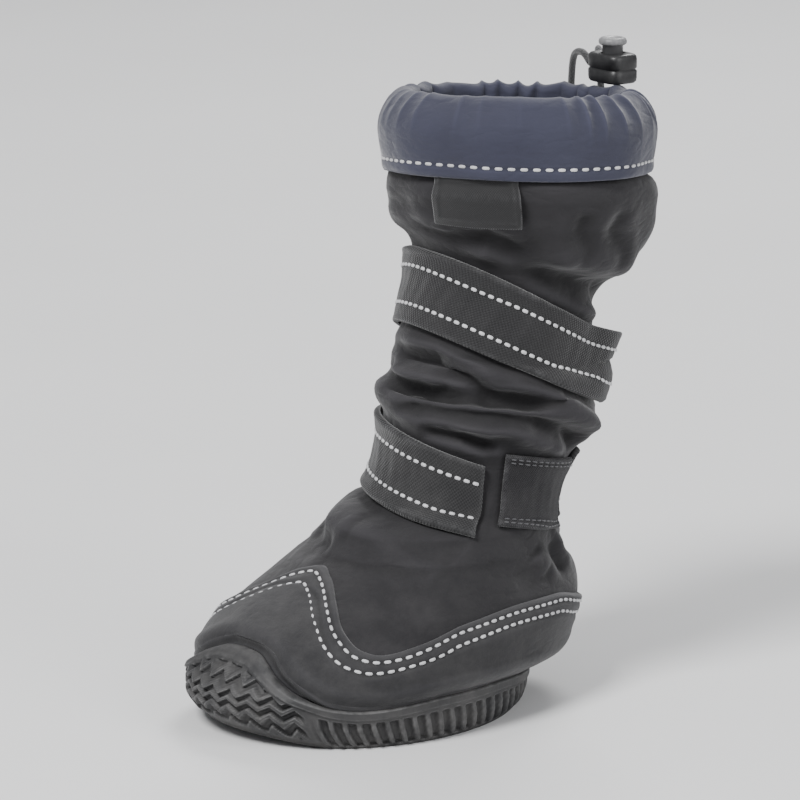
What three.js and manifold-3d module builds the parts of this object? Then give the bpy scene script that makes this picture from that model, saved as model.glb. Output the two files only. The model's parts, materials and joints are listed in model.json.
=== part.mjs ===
// Dog shoe: a tall soft boot for the left front paw, with a rubber cup sole, two hook-and-loop straps
// and a turned-over cuff that a drawcord gathers. Millimetres, +Z up, toe toward -Y, outer side toward +X.
// The origin is on the floor under the middle of the sole.
import * as THREE from 'three';
import { mergeVertices } from 'three/addons/utils/BufferGeometryUtils.js';
import Module from 'manifold-3d';

const wasm = await Module();
wasm.setup();

// Driving dimensions
const FIT = 0.3; // gap between touching pieces

const sole = {
  front: 46, // reach of the rubber from the origin to the toe
  back: 46.5, // reach to the heel
  halfWidth: 36.5,
  taper: 0.045, // wider toward the toe
  base: 4, // thickness under the foot
  rubber: 2.4, // thickness of the cup's wall
  toeSpring: 3.5,
  heelSpring: 1.5,
  flatFront: 24, // the tread lies on the floor from here
  flatBack: 38, // to here
  springRun: 4, // the underside goes on rising this far past the outline
  rimSide: 10.6, // height of the cup's wall at the side
  rimToe: 21.7, // height of the toe bumper
  ribDepth: 0.9,
  ribCount: 48,
  grooveDepth: 1.6,
  groovePitch: 8.5,
  grooveWidth: 2.2,
  zigzagPitch: 9,
  zigzagWave: 3.2,
};

const foot = {
  height: 45, // floor to the ankle, where the foot becomes the shaft
  halfWidth: 36.5,
  heelReach: 62, // the heel puffs out past the sole
  swell: 4.5, // height over the rim in which the fabric swells out to its own shape
  insole: 3,
};

const shaft = {
  wall: 2.4, // fabric and lining together
  ankleY: 27.5, // middle of the ankle
  ankleRadius: 24,
  collarInset: 3.6, // radius of the hidden collar, inside the cuff's own
  collarRise: 11.6, // top edge of the wall over the hem, inside the cuff
  lean: 0.16, // rise of a ring toward the toe, per millimetre
};

const cuff = {
  y: 49.4,
  hem: 131.4, // height of the lower edge on the axis
  height: 20.4,
  radius: 35.2,
  wall: 2.2,
  mouthInset: 9.4, // the gathered opening, inside the cuff's radius
  tuck: 5.4, // the shaft's fabric turns in to the collar this far under the hem
  frontRise: 0.074, // tilt of the cuff's plane, per millimetre toward the toe
  sideRise: 0.07, // and toward the outer side
  innerDepth: 11, // how far the lining leg goes down inside the shaft
};

const strap = { width: 19.5, thickness: 1.6, patchThickness: 1.2, gap: 0.8, step: 7.5 };

// Planes of the straps: where each crosses the axis, its rise toward the toe and toward the outer side
const upperStrap = {
  belowHem: 39.3,
  frontRise: 0.5,
  sideRise: -0.053,
  startAngle: -108,
  endAngle: 146,
  slantAngle: 20, // its upper edge runs on past its lower edge
  lift: 6.5, // the free tip stands off the shaft
  liftAngle: 38, // in which it comes free
};
const upperBack = {
  belowHem: 41.4,
  frontRise: 0.25,
  sideRise: 0,
  startAngle: 158,
  endAngle: 232,
  slantAngle: 0,
};
const lowerStrap = {
  aboveAnkle: 10.1,
  frontRise: 0.19,
  sideRise: -0.2,
  startAngle: -110,
  endAngle: 64,
  slantAngle: -11,
};
const lowerBack = {
  aboveAnkle: 11,
  frontRise: 0.13,
  sideRise: 0,
  startAngle: 144,
  endAngle: 236,
  slantAngle: 0,
};
const lowerPatch = {
  aboveAnkle: 9.8,
  frontRise: 0.17,
  sideRise: 0,
  startAngle: 74,
  endAngle: 134,
  slantAngle: -11,
};

const label = { width: 21, drop: 12, thickness: 0.8, angle: 33 };
const guard = { thickness: 1.1, gap: 0.45 };
const lock = {
  width: 12,
  depth: 9,
  height: 7.5,
  corner: 2.5,
  angle: 180,
  inset: 4.2, // its middle stands this far inside the cuff's radius
  well: 1.6, // floor under the button
  stem: 5.4,
  cap: 7,
  capHeight: 1.8,
  travel: 1.8,
};
const cord = { diameter: 1.8, tip: 4.4, tipLength: 12 };

const collarRadius = cuff.radius - shaft.collarInset;
const mouthRadius = cuff.radius - cuff.mouthInset;
const lockRadius = cuff.radius - lock.inset;

// Outline of the rubber: height as a share of the toe bumper's, lengths as shares of the sole's own front,
// back and half width
const soleRows = [
  { at: 0, front: 0.87, back: 0.92, side: 0.93 },
  { at: 0.092, front: 0.94, back: 0.965, side: 0.975 },
  { at: 0.276, front: 1, back: 0.99, side: 1 },
  { at: 0.507, front: 1, back: 1, side: 1 },
  { at: 0.783, front: 0.91, back: 1, side: 1 },
  { at: 1.106, front: 0.76, back: 1, side: 1 },
];

// Top edge of the rubber round the foot: 0 is the toe, 180 the heel. Share of the step from side to toe.
const rimRows = [
  { at: 0, lift: 1 },
  { at: 8, lift: 0.97 },
  { at: 16, lift: 0.83 },
  { at: 28, lift: 0.5 },
  { at: 39, lift: 0.22 },
  { at: 50, lift: 0.02 },
  { at: 62, lift: -0.04 },
  { at: 90, lift: 0.07 },
  { at: 112, lift: 0.05 },
  { at: 140, lift: -0.12 },
  { at: 180, lift: -0.16 },
];

// Top seam of the foot guard, as a share of the foot's height
const seamRows = [
  { at: 0, height: 0.85 },
  { at: 12, height: 0.81 },
  { at: 27, height: 0.71 },
  { at: 40, height: 0.6 },
  { at: 50, height: 0.535 },
  { at: 58, height: 0.515 },
  { at: 73, height: 0.55 },
  { at: 93, height: 0.62 },
  { at: 110, height: 0.65 },
  { at: 128, height: 0.635 },
  { at: 142, height: 0.58 },
  { at: 158, height: 0.52 },
  { at: 180, height: 0.47 },
];

// Sections of the foot: height as a share of the foot's height, reaches as shares of the sole's front,
// the heel's reach and the foot's half width; y is the middle of the section as a share of the heel's reach
const footRows = [
  { at: 0.1, y: 0, front: 0.88, back: 0.72, side: 0.9, taper: 0.06 },
  { at: 0.24, y: 0, front: 0.9, back: 0.86, side: 0.97, taper: 0.06 },
  { at: 0.35, y: 0, front: 0.88, back: 0.97, side: 1.0, taper: 0.05 },
  { at: 0.5, y: 0.02, front: 0.78, back: 1.0, side: 1.0, taper: 0.03 },
  { at: 0.61, y: 0.07, front: 0.7, back: 0.96, side: 0.94, taper: 0.0 },
  { at: 0.74, y: 0.15, front: 0.6, back: 0.84, side: 0.85, taper: -0.03 },
  { at: 0.82, y: 0.2, front: 0.55, back: 0.75, side: 0.8, taper: -0.04 },
  { at: 0.9, y: 0.27, front: 0.54, back: 0.67, side: 0.77, taper: -0.02 },
];

// Sections of the shaft from the ankle (0) to the cuff's hem (1): how far its axis has moved from the ankle's
// toward the cuff's, radius as a share of the ankle's, and how much further it puffs out toward the toe
const shaftRows = [
  { at: 0.006, back: 0, radius: 1.11, toe: 1.2 },
  { at: 0.064, back: 0.17, radius: 1, toe: 1.02 },
  { at: 0.139, back: 0.32, radius: 0.96, toe: 1 },
  { at: 0.197, back: 0.42, radius: 0.98, toe: 1 },
  { at: 0.243, back: 0.48, radius: 1.03, toe: 1 },
  { at: 0.295, back: 0.57, radius: 1.1, toe: 1 },
  { at: 0.341, back: 0.59, radius: 1.15, toe: 1 },
  { at: 0.382, back: 0.68, radius: 1.07, toe: 1 },
  { at: 0.428, back: 0.68, radius: 1.07, toe: 1 },
  { at: 0.475, back: 0.67, radius: 1, toe: 1 },
  { at: 0.556, back: 0.71, radius: 0.985, toe: 1 },
  { at: 0.637, back: 0.78, radius: 0.97, toe: 1 },
  { at: 0.694, back: 0.86, radius: 1.02, toe: 1 },
  { at: 0.752, back: 1.01, radius: 1.13, toe: 1 },
  { at: 0.816, back: 1.07, radius: 1.29, toe: 1 },
  { at: 0.88, back: 1.07, radius: 1.4, toe: 1 },
  { at: 0.937, back: 1.05, radius: 1.42, toe: 1 },
  { at: 0.984, back: 1.01, radius: 1.33, toe: 1 },
];

const DEGREE = Math.PI / 180;

// Value of one column at a place between rows, as a smooth curve through them that never overshoots
function between(rows, column, at) {
  const last = rows.length - 1;
  if (at <= rows[0].at) return rows[0][column];
  if (at >= rows[last].at) return rows[last][column];
  let i = 0;
  while (at > rows[i + 1].at) i += 1;
  const step = (k) => (rows[k + 1][column] - rows[k][column]) / (rows[k + 1].at - rows[k].at);
  const slope = (k) => {
    if (k === 0 || k === last) return 0;
    const [before, after] = [step(k - 1), step(k)];
    return before * after <= 0 ? 0 : (2 * before * after) / (before + after);
  };
  const span = rows[i + 1].at - rows[i].at;
  const t = (at - rows[i].at) / span;
  const [a, b] = [rows[i][column], rows[i + 1][column]];
  const ease = t * t * (3 - 2 * t);
  const bend = span * t * (1 - t) * (slope(i) * (1 - t) - slope(i + 1) * t);
  return a + (b - a) * ease + bend;
}

const mix = (a, b, t) => a + (b - a) * t;
const smoothstep = (from, to, x) => {
  const t = Math.min(1, Math.max(0, (x - from) / (to - from)));
  return t * t * (3 - 2 * t);
};

// Angle from the toe, folded so that both sides of the foot read the same row
const fromToe = (angle) => {
  const turn = ((angle % 360) + 360) % 360;
  return turn > 180 ? 360 - turn : turn;
};

const rimHeight = (angle) => mix(sole.rimSide, sole.rimToe, between(rimRows, 'lift', fromToe(angle)));
const seamHeight = (angle) => foot.height * between(seamRows, 'height', fromToe(angle));

// One level ring with its own reach to toe, heel and side, wider toward the toe by the taper
function oval(ring, angle) {
  const [sin, cos] = [Math.sin(angle * DEGREE), Math.cos(angle * DEGREE)];
  const reach = cos > 0 ? ring.front : ring.back;
  return new THREE.Vector2(ring.side * sin * (1 + ring.taper * cos), ring.y - reach * cos);
}

// How far the sole's underside is lifted at a place along its length
function spring(y) {
  const toe = smoothstep(-sole.flatFront, -sole.front - sole.springRun, y) * sole.toeSpring;
  const heel = smoothstep(sole.flatBack, sole.back + sole.springRun, y) * sole.heelSpring;
  return toe + heel;
}

// The spring fades out up the side of the foot
const settleOfSpring = (height) => 1 - smoothstep(sole.base, 0.74 * sole.rimToe, height);

function rubberPoint(height, angle, inset = 0) {
  const row = (column) => between(soleRows, column, height / sole.rimToe);
  const ring = {
    y: 0,
    front: sole.front * row('front') - inset,
    back: sole.back * row('back') - inset,
    side: sole.halfWidth * row('side') - inset,
    taper: sole.taper,
  };
  return oval(ring, angle);
}

// The boot's outer skin. Below the rim it follows the inside of the cup, above it the foot and the shaft.
const ankle = foot.height;
const footTop = ankle * footRows.at(-1).at;
const shaftHeight = cuff.hem - ankle;
const shaftStart = ankle + shaftHeight * shaftRows[0].at;

function bodyRing(height) {
  if (height <= footTop) {
    const row = (column) => between(footRows, column, height / ankle);
    return {
      y: foot.heelReach * row('y'),
      front: sole.front * row('front'),
      back: foot.heelReach * row('back'),
      side: foot.halfWidth * row('side'),
      taper: row('taper'),
      rise: 0,
      sideRise: 0,
    };
  }
  const climb = (height - ankle) / shaftHeight;
  const row = (column) => between(shaftRows, column, climb);
  const radius = shaft.ankleRadius * row('radius');
  const y = mix(shaft.ankleY, cuff.y, row('back'));
  const settle = smoothstep(0, 0.21, climb);
  const toCuff = smoothstep(0.694, 1, climb);
  const top = {
    y,
    front: radius * row('toe'),
    back: radius,
    side: radius,
    taper: 0,
    rise: mix(shaft.lean * settle, cuff.frontRise, toCuff),
    sideRise: cuff.sideRise * toCuff,
  };
  if (height >= shaftStart) return top;
  const below = bodyRing(footTop);
  const t = (height - footTop) / (shaftStart - footTop);
  const ring = {};
  for (const key of Object.keys(below)) ring[key] = mix(below[key], top[key], t);
  return ring;
}

// A level of the skin runs along the rim at RIM_LEVEL and is flat again at FREE_LEVEL
const RIM_LEVEL = 12;
const FREE_LEVEL = 0.7556 * foot.height;
const floorInside = sole.base + FIT;
function levelHeight(level, angle) {
  const rim = rimHeight(angle) + FIT;
  if (level <= RIM_LEVEL) return mix(floorInside, rim, level / RIM_LEVEL);
  if (level <= FREE_LEVEL) return mix(rim, FREE_LEVEL, (level - RIM_LEVEL) / (FREE_LEVEL - RIM_LEVEL));
  return level;
}

function skin(level, angle) {
  const height = levelHeight(level, angle);
  const ring = bodyRing(height);
  const flat = oval(ring, angle);
  const out = smoothstep(4 * FIT, foot.swell, height - rimHeight(angle));
  if (out < 1) {
    const inCup = rubberPoint(height, angle, sole.rubber + 2 * FIT);
    flat.lerpVectors(inCup, flat, out);
  }
  const tilt = ring.rise * (ring.y - flat.y) + ring.sideRise * flat.x;
  return new THREE.Vector3(flat.x, flat.y, height + tilt + spring(flat.y) * settleOfSpring(height));
}

// The skin moved outward along its own normal
function skinOffset(level, angle, distance) {
  const d = 0.4;
  const up = skin(level + d, angle).sub(skin(Math.max(0, level - d), angle));
  const along = skin(level, angle + d).sub(skin(level, angle - d));
  const normal = along.cross(up).normalize();
  return skin(level, angle).addScaledVector(normal, distance);
}

// Level of the skin where it reaches a given height at an angle
function levelAt(height, angle) {
  let [low, high] = [0, 200];
  for (let i = 0; i < 30; i += 1) {
    const middle = (low + high) / 2;
    if (skin(middle, angle).z < height) low = middle;
    else high = middle;
  }
  return (low + high) / 2;
}

// Closed mesh from rings of equal length: joined end to end as a hollow sleeve, or capped at both ends
function meshFromRings(rings, capped) {
  const count = rings[0].length;
  const positions = rings.flat().flatMap((p) => [p.x, p.y, p.z]);
  const faces = [];
  const last = capped ? rings.length - 1 : rings.length;
  for (let r = 0; r < last; r += 1) {
    const next = (r + 1) % rings.length;
    for (let i = 0; i < count; i += 1) {
      const j = (i + 1) % count;
      const [a, b, c, d] = [r * count + i, r * count + j, next * count + j, next * count + i];
      faces.push(a, b, c, a, c, d);
    }
  }
  if (capped) {
    for (const [r, turn] of [[0, true], [rings.length - 1, false]]) {
      const centre = new THREE.Vector3();
      rings[r].forEach((p) => centre.add(p));
      centre.divideScalar(count);
      const hub = positions.length / 3;
      positions.push(centre.x, centre.y, centre.z);
      for (let i = 0; i < count; i += 1) {
        const [a, b] = [r * count + i, r * count + ((i + 1) % count)];
        faces.push(hub, turn ? b : a, turn ? a : b);
      }
    }
  }
  const geometry = new THREE.BufferGeometry();
  geometry.setAttribute('position', new THREE.Float32BufferAttribute(positions, 3));
  geometry.setIndex(faces);
  return geometry;
}

const range = (count) => Array.from({ length: count }, (_, i) => i);
const ringOf = (count, point) => range(count).map((i) => point((360 * i) / count));

function toManifold(geometry) {
  const bare = geometry.clone();
  bare.deleteAttribute('normal');
  bare.deleteAttribute('uv');
  const merged = mergeVertices(bare, 1e-4);
  return new wasm.Manifold(
    new wasm.Mesh({
      numProp: 3,
      vertProperties: new Float32Array(merged.attributes.position.array),
      triVerts: new Uint32Array(merged.index.array),
    }),
  );
}

function fromManifold(solid) {
  const mesh = solid.getMesh();
  const geometry = new THREE.BufferGeometry();
  geometry.setAttribute('position', new THREE.Float32BufferAttribute(mesh.vertProperties, 3));
  geometry.setIndex(Array.from(mesh.triVerts));
  return geometry;
}

// Rubber cup sole: ribbed side, raised rim, toe bumper and a zigzag tread
const SOLE_STEPS = 2 * sole.ribCount;

function outsoleBody() {
  const point = (height, angle, inset, lift) => {
    const flat = rubberPoint(height, angle, inset);
    return new THREE.Vector3(flat.x, flat.y, height + lift);
  };
  const ribbed = (angle) => smoothstep(40, 48, fromToe(angle));
  const wall = (share, proud) =>
    ringOf(SOLE_STEPS, (angle) => {
      const height = rimHeight(angle) * share;
      const at = rubberPoint(height, angle);
      const hollow = Math.round((angle / 360) * SOLE_STEPS) % 2;
      const inset = proud ? sole.ribDepth * hollow * ribbed(angle) : 0;
      return point(height, angle, inset, spring(at.y) * settleOfSpring(height));
    });
  const under = (share) =>
    ringOf(SOLE_STEPS, (angle) => {
      const flat = rubberPoint(0, angle).multiplyScalar(share);
      return new THREE.Vector3(flat.x, flat.y, spring(flat.y));
    });
  const inside = (level) =>
    ringOf(SOLE_STEPS, (angle) => {
      const height = mix(sole.base, rimHeight(angle), level);
      const flat = rubberPoint(height, angle, sole.rubber);
      return new THREE.Vector3(flat.x, flat.y, height + spring(flat.y) * settleOfSpring(height));
    });
  const floor = (share) =>
    ringOf(SOLE_STEPS, (angle) => {
      const flat = rubberPoint(sole.base, angle, sole.rubber).multiplyScalar(share);
      return new THREE.Vector3(flat.x, flat.y, sole.base + spring(flat.y));
    });
  const rings = [
    under(0.5), under(0.78), under(1),
    wall(0.12, true), wall(0.3, true), wall(0.62, true), wall(0.66, false), wall(0.85, false), wall(1, false),
    inside(1), inside(0.5), inside(0), floor(0.78), floor(0.5),
  ];
  return meshFromRings(rings, true);
}

// One zigzag groove across the tread, as an upright extrusion
function zigzagGroove(y) {
  const half = sole.halfWidth + 4;
  const under = 2;
  const teeth = Math.ceil((2 * half) / sole.zigzagPitch);
  const edge = (shift) =>
    range(teeth + 1).map((i) => {
      const wave = i % 2 ? sole.zigzagWave : -sole.zigzagWave;
      return new THREE.Vector2(-half + i * sole.zigzagPitch, y + shift + wave);
    });
  const outline = [...edge(-sole.grooveWidth / 2), ...edge(sole.grooveWidth / 2).reverse()];
  const shape = new THREE.Shape(outline);
  const geometry = new THREE.ExtrudeGeometry(shape, { depth: sole.grooveDepth + under, bevelEnabled: false });
  return geometry.translate(0, 0, -under);
}

function outsole() {
  let solid = toManifold(outsoleBody());
  const first = -sole.flatFront + 2;
  const count = Math.floor((sole.flatFront + sole.flatBack - 4) / sole.groovePitch) + 1;
  for (const i of range(count)) {
    solid = solid.subtract(toManifold(zigzagGroove(first + i * sole.groovePitch)));
  }
  return fromManifold(solid);
}

// Hollow upper: outer skin up, over the top edge, inner face down to the sole
const UPPER_STEPS = 36;

function levelsBetween(from, to, pitch) {
  const count = Math.max(1, Math.round((to - from) / pitch));
  return range(count + 1).map((i) => from + ((to - from) * i) / count);
}

function collarPoint(height, angle, inset) {
  const radius = collarRadius - inset;
  const flat = oval({ y: 0, front: radius, back: radius, side: radius, taper: 0 }, angle);
  const rise = cuff.frontRise * -flat.y + cuff.sideRise * flat.x;
  return new THREE.Vector3(flat.x, cuff.y + flat.y, height + rise);
}

const CUP_LEVELS = levelsBetween(0, RIM_LEVEL, 6);
const SWELL_LEVELS = [1.2, 2.6, 4.4].map((above) => RIM_LEVEL + above);
const UPPER_LEVELS = [
  ...CUP_LEVELS,
  ...SWELL_LEVELS,
  ...levelsBetween(RIM_LEVEL + 8, FREE_LEVEL, 4.6),
  ...levelsBetween(ankle - 6.5, ankle + 2.5, 4.5),
  ...levelsBetween(ankle + 6, cuff.hem - cuff.tuck, 5),
];

function upper() {
  const outer = UPPER_LEVELS.map((level) => ringOf(UPPER_STEPS, (angle) => skin(level, angle)));
  const closeLevels = CUP_LEVELS.length + SWELL_LEVELS.length + 2;
  const inner = UPPER_LEVELS.filter((_, i) => i < closeLevels || i % 2).map((level) =>
    ringOf(UPPER_STEPS, (angle) => {
      const point = skinOffset(level, angle, -shaft.wall);
      if (level < 1) point.z = skin(level, angle).z;
      return point;
    }),
  );
  const neck = [cuff.hem - FIT, cuff.hem + shaft.collarRise];
  const outerTop = neck.map((height) => ringOf(UPPER_STEPS, (angle) => collarPoint(height, angle, 0)));
  const innerTop = neck
    .map((height) => ringOf(UPPER_STEPS, (angle) => collarPoint(height, angle, shaft.wall)))
    .reverse();
  return meshFromRings([...outer, ...outerTop, ...innerTop, ...inner.reverse()], false);
}

// Foot bed inside the upper
function insole() {
  const ring = (height, share) =>
    ringOf(UPPER_STEPS, (angle) => {
      const flat = rubberPoint(sole.base, angle, sole.rubber + shaft.wall + 4 * FIT).multiplyScalar(share);
      return new THREE.Vector3(flat.x, flat.y, height + spring(flat.y));
    });
  const bottom = sole.base + FIT;
  const top = bottom + foot.insole;
  return meshFromRings([ring(bottom, 0.6), ring(bottom, 1), ring(top, 1), ring(top, 0.6)], true);
}

// Guard panel round the foot, on the skin from the rubber rim up to its seam
function footGuard() {
  const face = (row, distance) =>
    ringOf(UPPER_STEPS, (angle) => {
      const seam = levelAt(seamHeight(angle), angle);
      const level = Math.min(UPPER_LEVELS[CUP_LEVELS.length + row], seam - edgeStep * (rows - 1 - row));
      return skinOffset(level, angle, distance);
    });
  const rows = 8;
  const edgeStep = 0.35;
  const outer = range(rows).map((row) => face(row, guard.gap + guard.thickness));
  const inner = range(rows).map((row) => face(row, guard.gap)).reverse();
  return meshFromRings([...outer, ...inner], false);
}

// Turned-over cuff: outer flap, rolled top and a lining leg inside the collar
const cuffRows = [
  { rise: 0, radius: 0.972 },
  { rise: 0.2, radius: 0.99 },
  { rise: 0.5, radius: 1 },
  { rise: 0.74, radius: 0.965 },
  { rise: 0.92, radius: 0.88 },
  { rise: 1, radius: 0.8 },
];

function cuffPoint(rise, radius, angle) {
  const [sin, cos] = [Math.sin(angle * DEGREE), Math.cos(angle * DEGREE)];
  const tilt = cuff.frontRise * radius * cos + cuff.sideRise * radius * sin;
  return new THREE.Vector3(radius * sin, cuff.y - radius * cos, cuff.hem + rise + tilt);
}

function turnedCuff() {
  const CUFF_STEPS = 40;
  const ring = (rise, radius) => ringOf(CUFF_STEPS, (angle) => cuffPoint(rise, radius, angle));
  const collarTop = shaft.collarRise + FIT;
  const outer = cuffRows.map((row) => ring(row.rise * cuff.height, row.radius * cuff.radius));
  const lining = collarRadius - shaft.wall - FIT;
  const mouth = [
    ring(cuff.height - 0.8, mouthRadius + 0.6),
    ring(cuff.height - 3, mouthRadius),
    ring(cuff.height - cuff.innerDepth, lining - cuff.wall),
    ring(cuff.height - cuff.innerDepth - 1, lining),
    ring(collarTop, lining),
    ring(collarTop, collarRadius + FIT),
    ring(4, collarRadius + 2 * FIT),
    ring(0, cuff.radius * cuffRows[0].radius - cuff.wall),
  ];
  return meshFromRings([...outer, ...mouth], false);
}

// Level of the skin a given way above or below the line where a strap's middle plane meets it
function bandLevel(plane, angle, shift) {
  const onAxis = plane.belowHem ? cuff.hem - plane.belowHem : foot.height + plane.aboveAnkle;
  let height = onAxis;
  for (const _ of range(4)) {
    const at = skin(levelAt(height, angle), angle);
    height = onAxis + plane.frontRise * (bodyRing(at.z).y - at.y) + plane.sideRise * at.x;
  }
  const middle = levelAt(height, angle);
  const start = skin(middle, angle);
  const side = Math.sign(shift);
  let level = middle;
  const step = 0.25;
  while (skin(level, angle).distanceTo(start) < Math.abs(shift)) level += side * step;
  return level;
}

// A band that lies on the skin in a tilted plane, between the plane's two angles
function band(plane, thickness, extra = () => 0) {
  const { startAngle: from, endAngle: to } = plane;
  const steps = Math.max(4, Math.round(Math.abs(to - from) / strap.step));
  const sections = range(steps + 1).map((i) => {
    const angle = mix(from, to, i / steps);
    const point = (share, distance) => {
      const turned = angle + share * plane.slantAngle;
      const level = bandLevel(plane, turned, share * strap.width);
      return skinOffset(level, turned, strap.gap + distance + extra(angle, share));
    };
    const across = [-0.5, -0.25, 0, 0.25, 0.5];
    const face = across.map((share) => point(share, thickness));
    const back = across.reverse().map((share) => point(share, 0));
    return [...face, ...back];
  });
  return meshFromRings(sections.reverse(), true);
}

function freeTip(angle, share) {
  const { lift, liftAngle, endAngle } = upperStrap;
  return lift * (0.6 + share) * smoothstep(endAngle - liftAngle, endAngle, angle);
}

// Woven label that hangs from under the cuff
function labelTab() {
  const halfAngle = (label.width / 2 / collarRadius) / DEGREE;
  const hem = (angle) => cuffPoint(0, collarRadius, angle).z;
  const sections = range(7).map((i) => {
    const angle = mix(label.angle - halfAngle, label.angle + halfAngle, i / 6);
    const middleHem = hem(label.angle);
    const point = (share, distance) => {
      const level = levelAt(middleHem - FIT - label.drop * share, angle);
      return skinOffset(level, angle, 2 * FIT + distance);
    };
    const down = [1, 0.5, 0.05];
    const face = down.map((share) => point(share, label.thickness));
    const back = down.reverse().map((share) => point(share, 0));
    return [...face, ...back];
  });
  return meshFromRings(sections.reverse(), true);
}

// Cord lock at the back of the cuff: a barrel with rounded corners and a sprung push button
function roundedBox(width, depth, height, corner) {
  const shape = new THREE.Shape();
  const [x, y] = [width / 2, depth / 2];
  shape.moveTo(-x + corner, -y);
  shape.lineTo(x - corner, -y);
  shape.absarc(x - corner, -y + corner, corner, -Math.PI / 2, 0);
  shape.lineTo(x, y - corner);
  shape.absarc(x - corner, y - corner, corner, 0, Math.PI / 2);
  shape.lineTo(-x + corner, y);
  shape.absarc(-x + corner, y - corner, corner, Math.PI / 2, Math.PI);
  shape.lineTo(-x, -y + corner);
  shape.absarc(-x + corner, -y + corner, corner, Math.PI, 1.5 * Math.PI);
  return new THREE.ExtrudeGeometry(shape, { depth: height, bevelEnabled: false, curveSegments: 4 });
}

const lockPlace = cuffPoint(cuff.height, lockRadius, lock.angle);
lockPlace.z = cuffPoint(cuff.height, lockRadius - lock.depth / 2, lock.angle).z + 2 * FIT;

function lockBarrel() {
  const body = toManifold(roundedBox(lock.width, lock.depth, lock.height, lock.corner));
  const well = new THREE.CylinderGeometry(lock.stem / 2 + FIT, lock.stem / 2 + FIT, lock.height, 20);
  well.rotateX(Math.PI / 2);
  well.translate(0, 0, lock.height / 2 + lock.well);
  return fromManifold(body.subtract(toManifold(well)));
}

function lockButton() {
  const bottom = lock.well + lock.travel + FIT;
  const top = lock.height + lock.travel + FIT;
  const profile = [
    [0, bottom],
    [lock.stem / 2, bottom],
    [lock.stem / 2, top],
    [lock.cap / 2, top],
    [lock.cap / 2, top + lock.capHeight * 0.7],
    [lock.cap / 2 - 1, top + lock.capHeight],
    [0, top + lock.capHeight],
  ].map(([r, z]) => new THREE.Vector2(r, z));
  return new THREE.LatheGeometry(profile, 24).rotateX(Math.PI / 2);
}

// Cord ends and their tips, measured from the side of the lock: chosen points
const cordExit = -lock.width / 2 - cord.diameter / 2;
const cordRoutes = [
  [[0, -1.6, 4.2], [-5.1, 0, 6], [-12.1, 3, 4], [-18.1, 7, -4], [-21.1, 9.5, -15], [-22.1, 10.5, -25]],
  [[0, 1.8, 4.2], [-4.1, 4.5, 6.5], [-9.1, 8.5, 4], [-12.1, 12, -6], [-12.6, 13, -19], [-12.1, 13, -32]],
].map((route) => route.map(([x, y, z]) => new THREE.Vector3(cordExit + x, y, z)));

function cordEnd(route) {
  const curve = new THREE.CatmullRomCurve3(route);
  const section = new THREE.Shape(range(8).map((i) => {
    const turn = (i / 8) * 2 * Math.PI;
    return new THREE.Vector2(Math.cos(turn), Math.sin(turn)).multiplyScalar(cord.diameter / 2);
  }));
  const steps = Math.round(curve.getLength() / (2 * cord.diameter));
  return new THREE.ExtrudeGeometry(section, { steps, extrudePath: curve, bevelEnabled: false });
}

function cordTip() {
  const profile = [
    [0, 0],
    [cord.tip / 2 - 0.4, 0],
    [cord.tip / 2, 0.8],
    [cord.tip / 2 - 0.3, cord.tipLength - 3],
    [cord.diameter / 2 + 0.3, cord.tipLength],
    [0, cord.tipLength],
  ].map(([r, z]) => new THREE.Vector2(r, z));
  return new THREE.LatheGeometry(profile, 16).rotateX(Math.PI / 2);
}

// Materials
const cloth = (color, roughness = 0.85) => new THREE.MeshStandardMaterial({ color, roughness, metalness: 0 });
const blackCloth = cloth(0x2b2b2e);
const navyCloth = cloth(0x41455c);
const webbing = cloth(0x333337, 0.9);
const rubber = cloth(0x3a3b3e, 0.75);
const foam = cloth(0x3c3d40, 0.95);
const hardPlastic = cloth(0x1f1f21, 0.45);
const greyPlastic = cloth(0x77787c, 0.45);
const elastic = cloth(0x242427, 0.8);

const boot = new THREE.Group();

function place(name, geometry, material, position) {
  const mesh = new THREE.Mesh(geometry, material);
  mesh.name = name;
  if (position) mesh.position.copy(position);
  boot.add(mesh);
  return mesh;
}

place('outsole', outsole(), rubber);
place('insole', insole(), foam);
place('upper', upper(), blackCloth);
place('foot_guard', footGuard(), blackCloth);
place('cuff', turnedCuff(), navyCloth);
place('label_tab', labelTab(), webbing);
place('upper_strap', band(upperStrap, strap.thickness, freeTip), webbing);
place('upper_strap_back', band(upperBack, strap.thickness), webbing);
place('lower_strap', band(lowerStrap, strap.thickness), webbing);
place('lower_strap_patch', band(lowerPatch, strap.patchThickness), webbing);
place('lower_strap_back', band(lowerBack, strap.thickness), webbing);
place('cord_lock_barrel', lockBarrel(), hardPlastic, lockPlace);
place('cord_lock_button', lockButton(), greyPlastic, lockPlace);
cordRoutes.forEach((route, i) => {
  place(`drawcord_end_${i + 1}`, cordEnd(route), elastic, lockPlace);
  const end = route.at(-1).clone().add(lockPlace);
  end.z -= cord.tipLength + FIT;
  place(`cord_tip_${i + 1}`, cordTip(), hardPlastic, end);
});

export default boot;
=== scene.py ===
import json
import math

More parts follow.
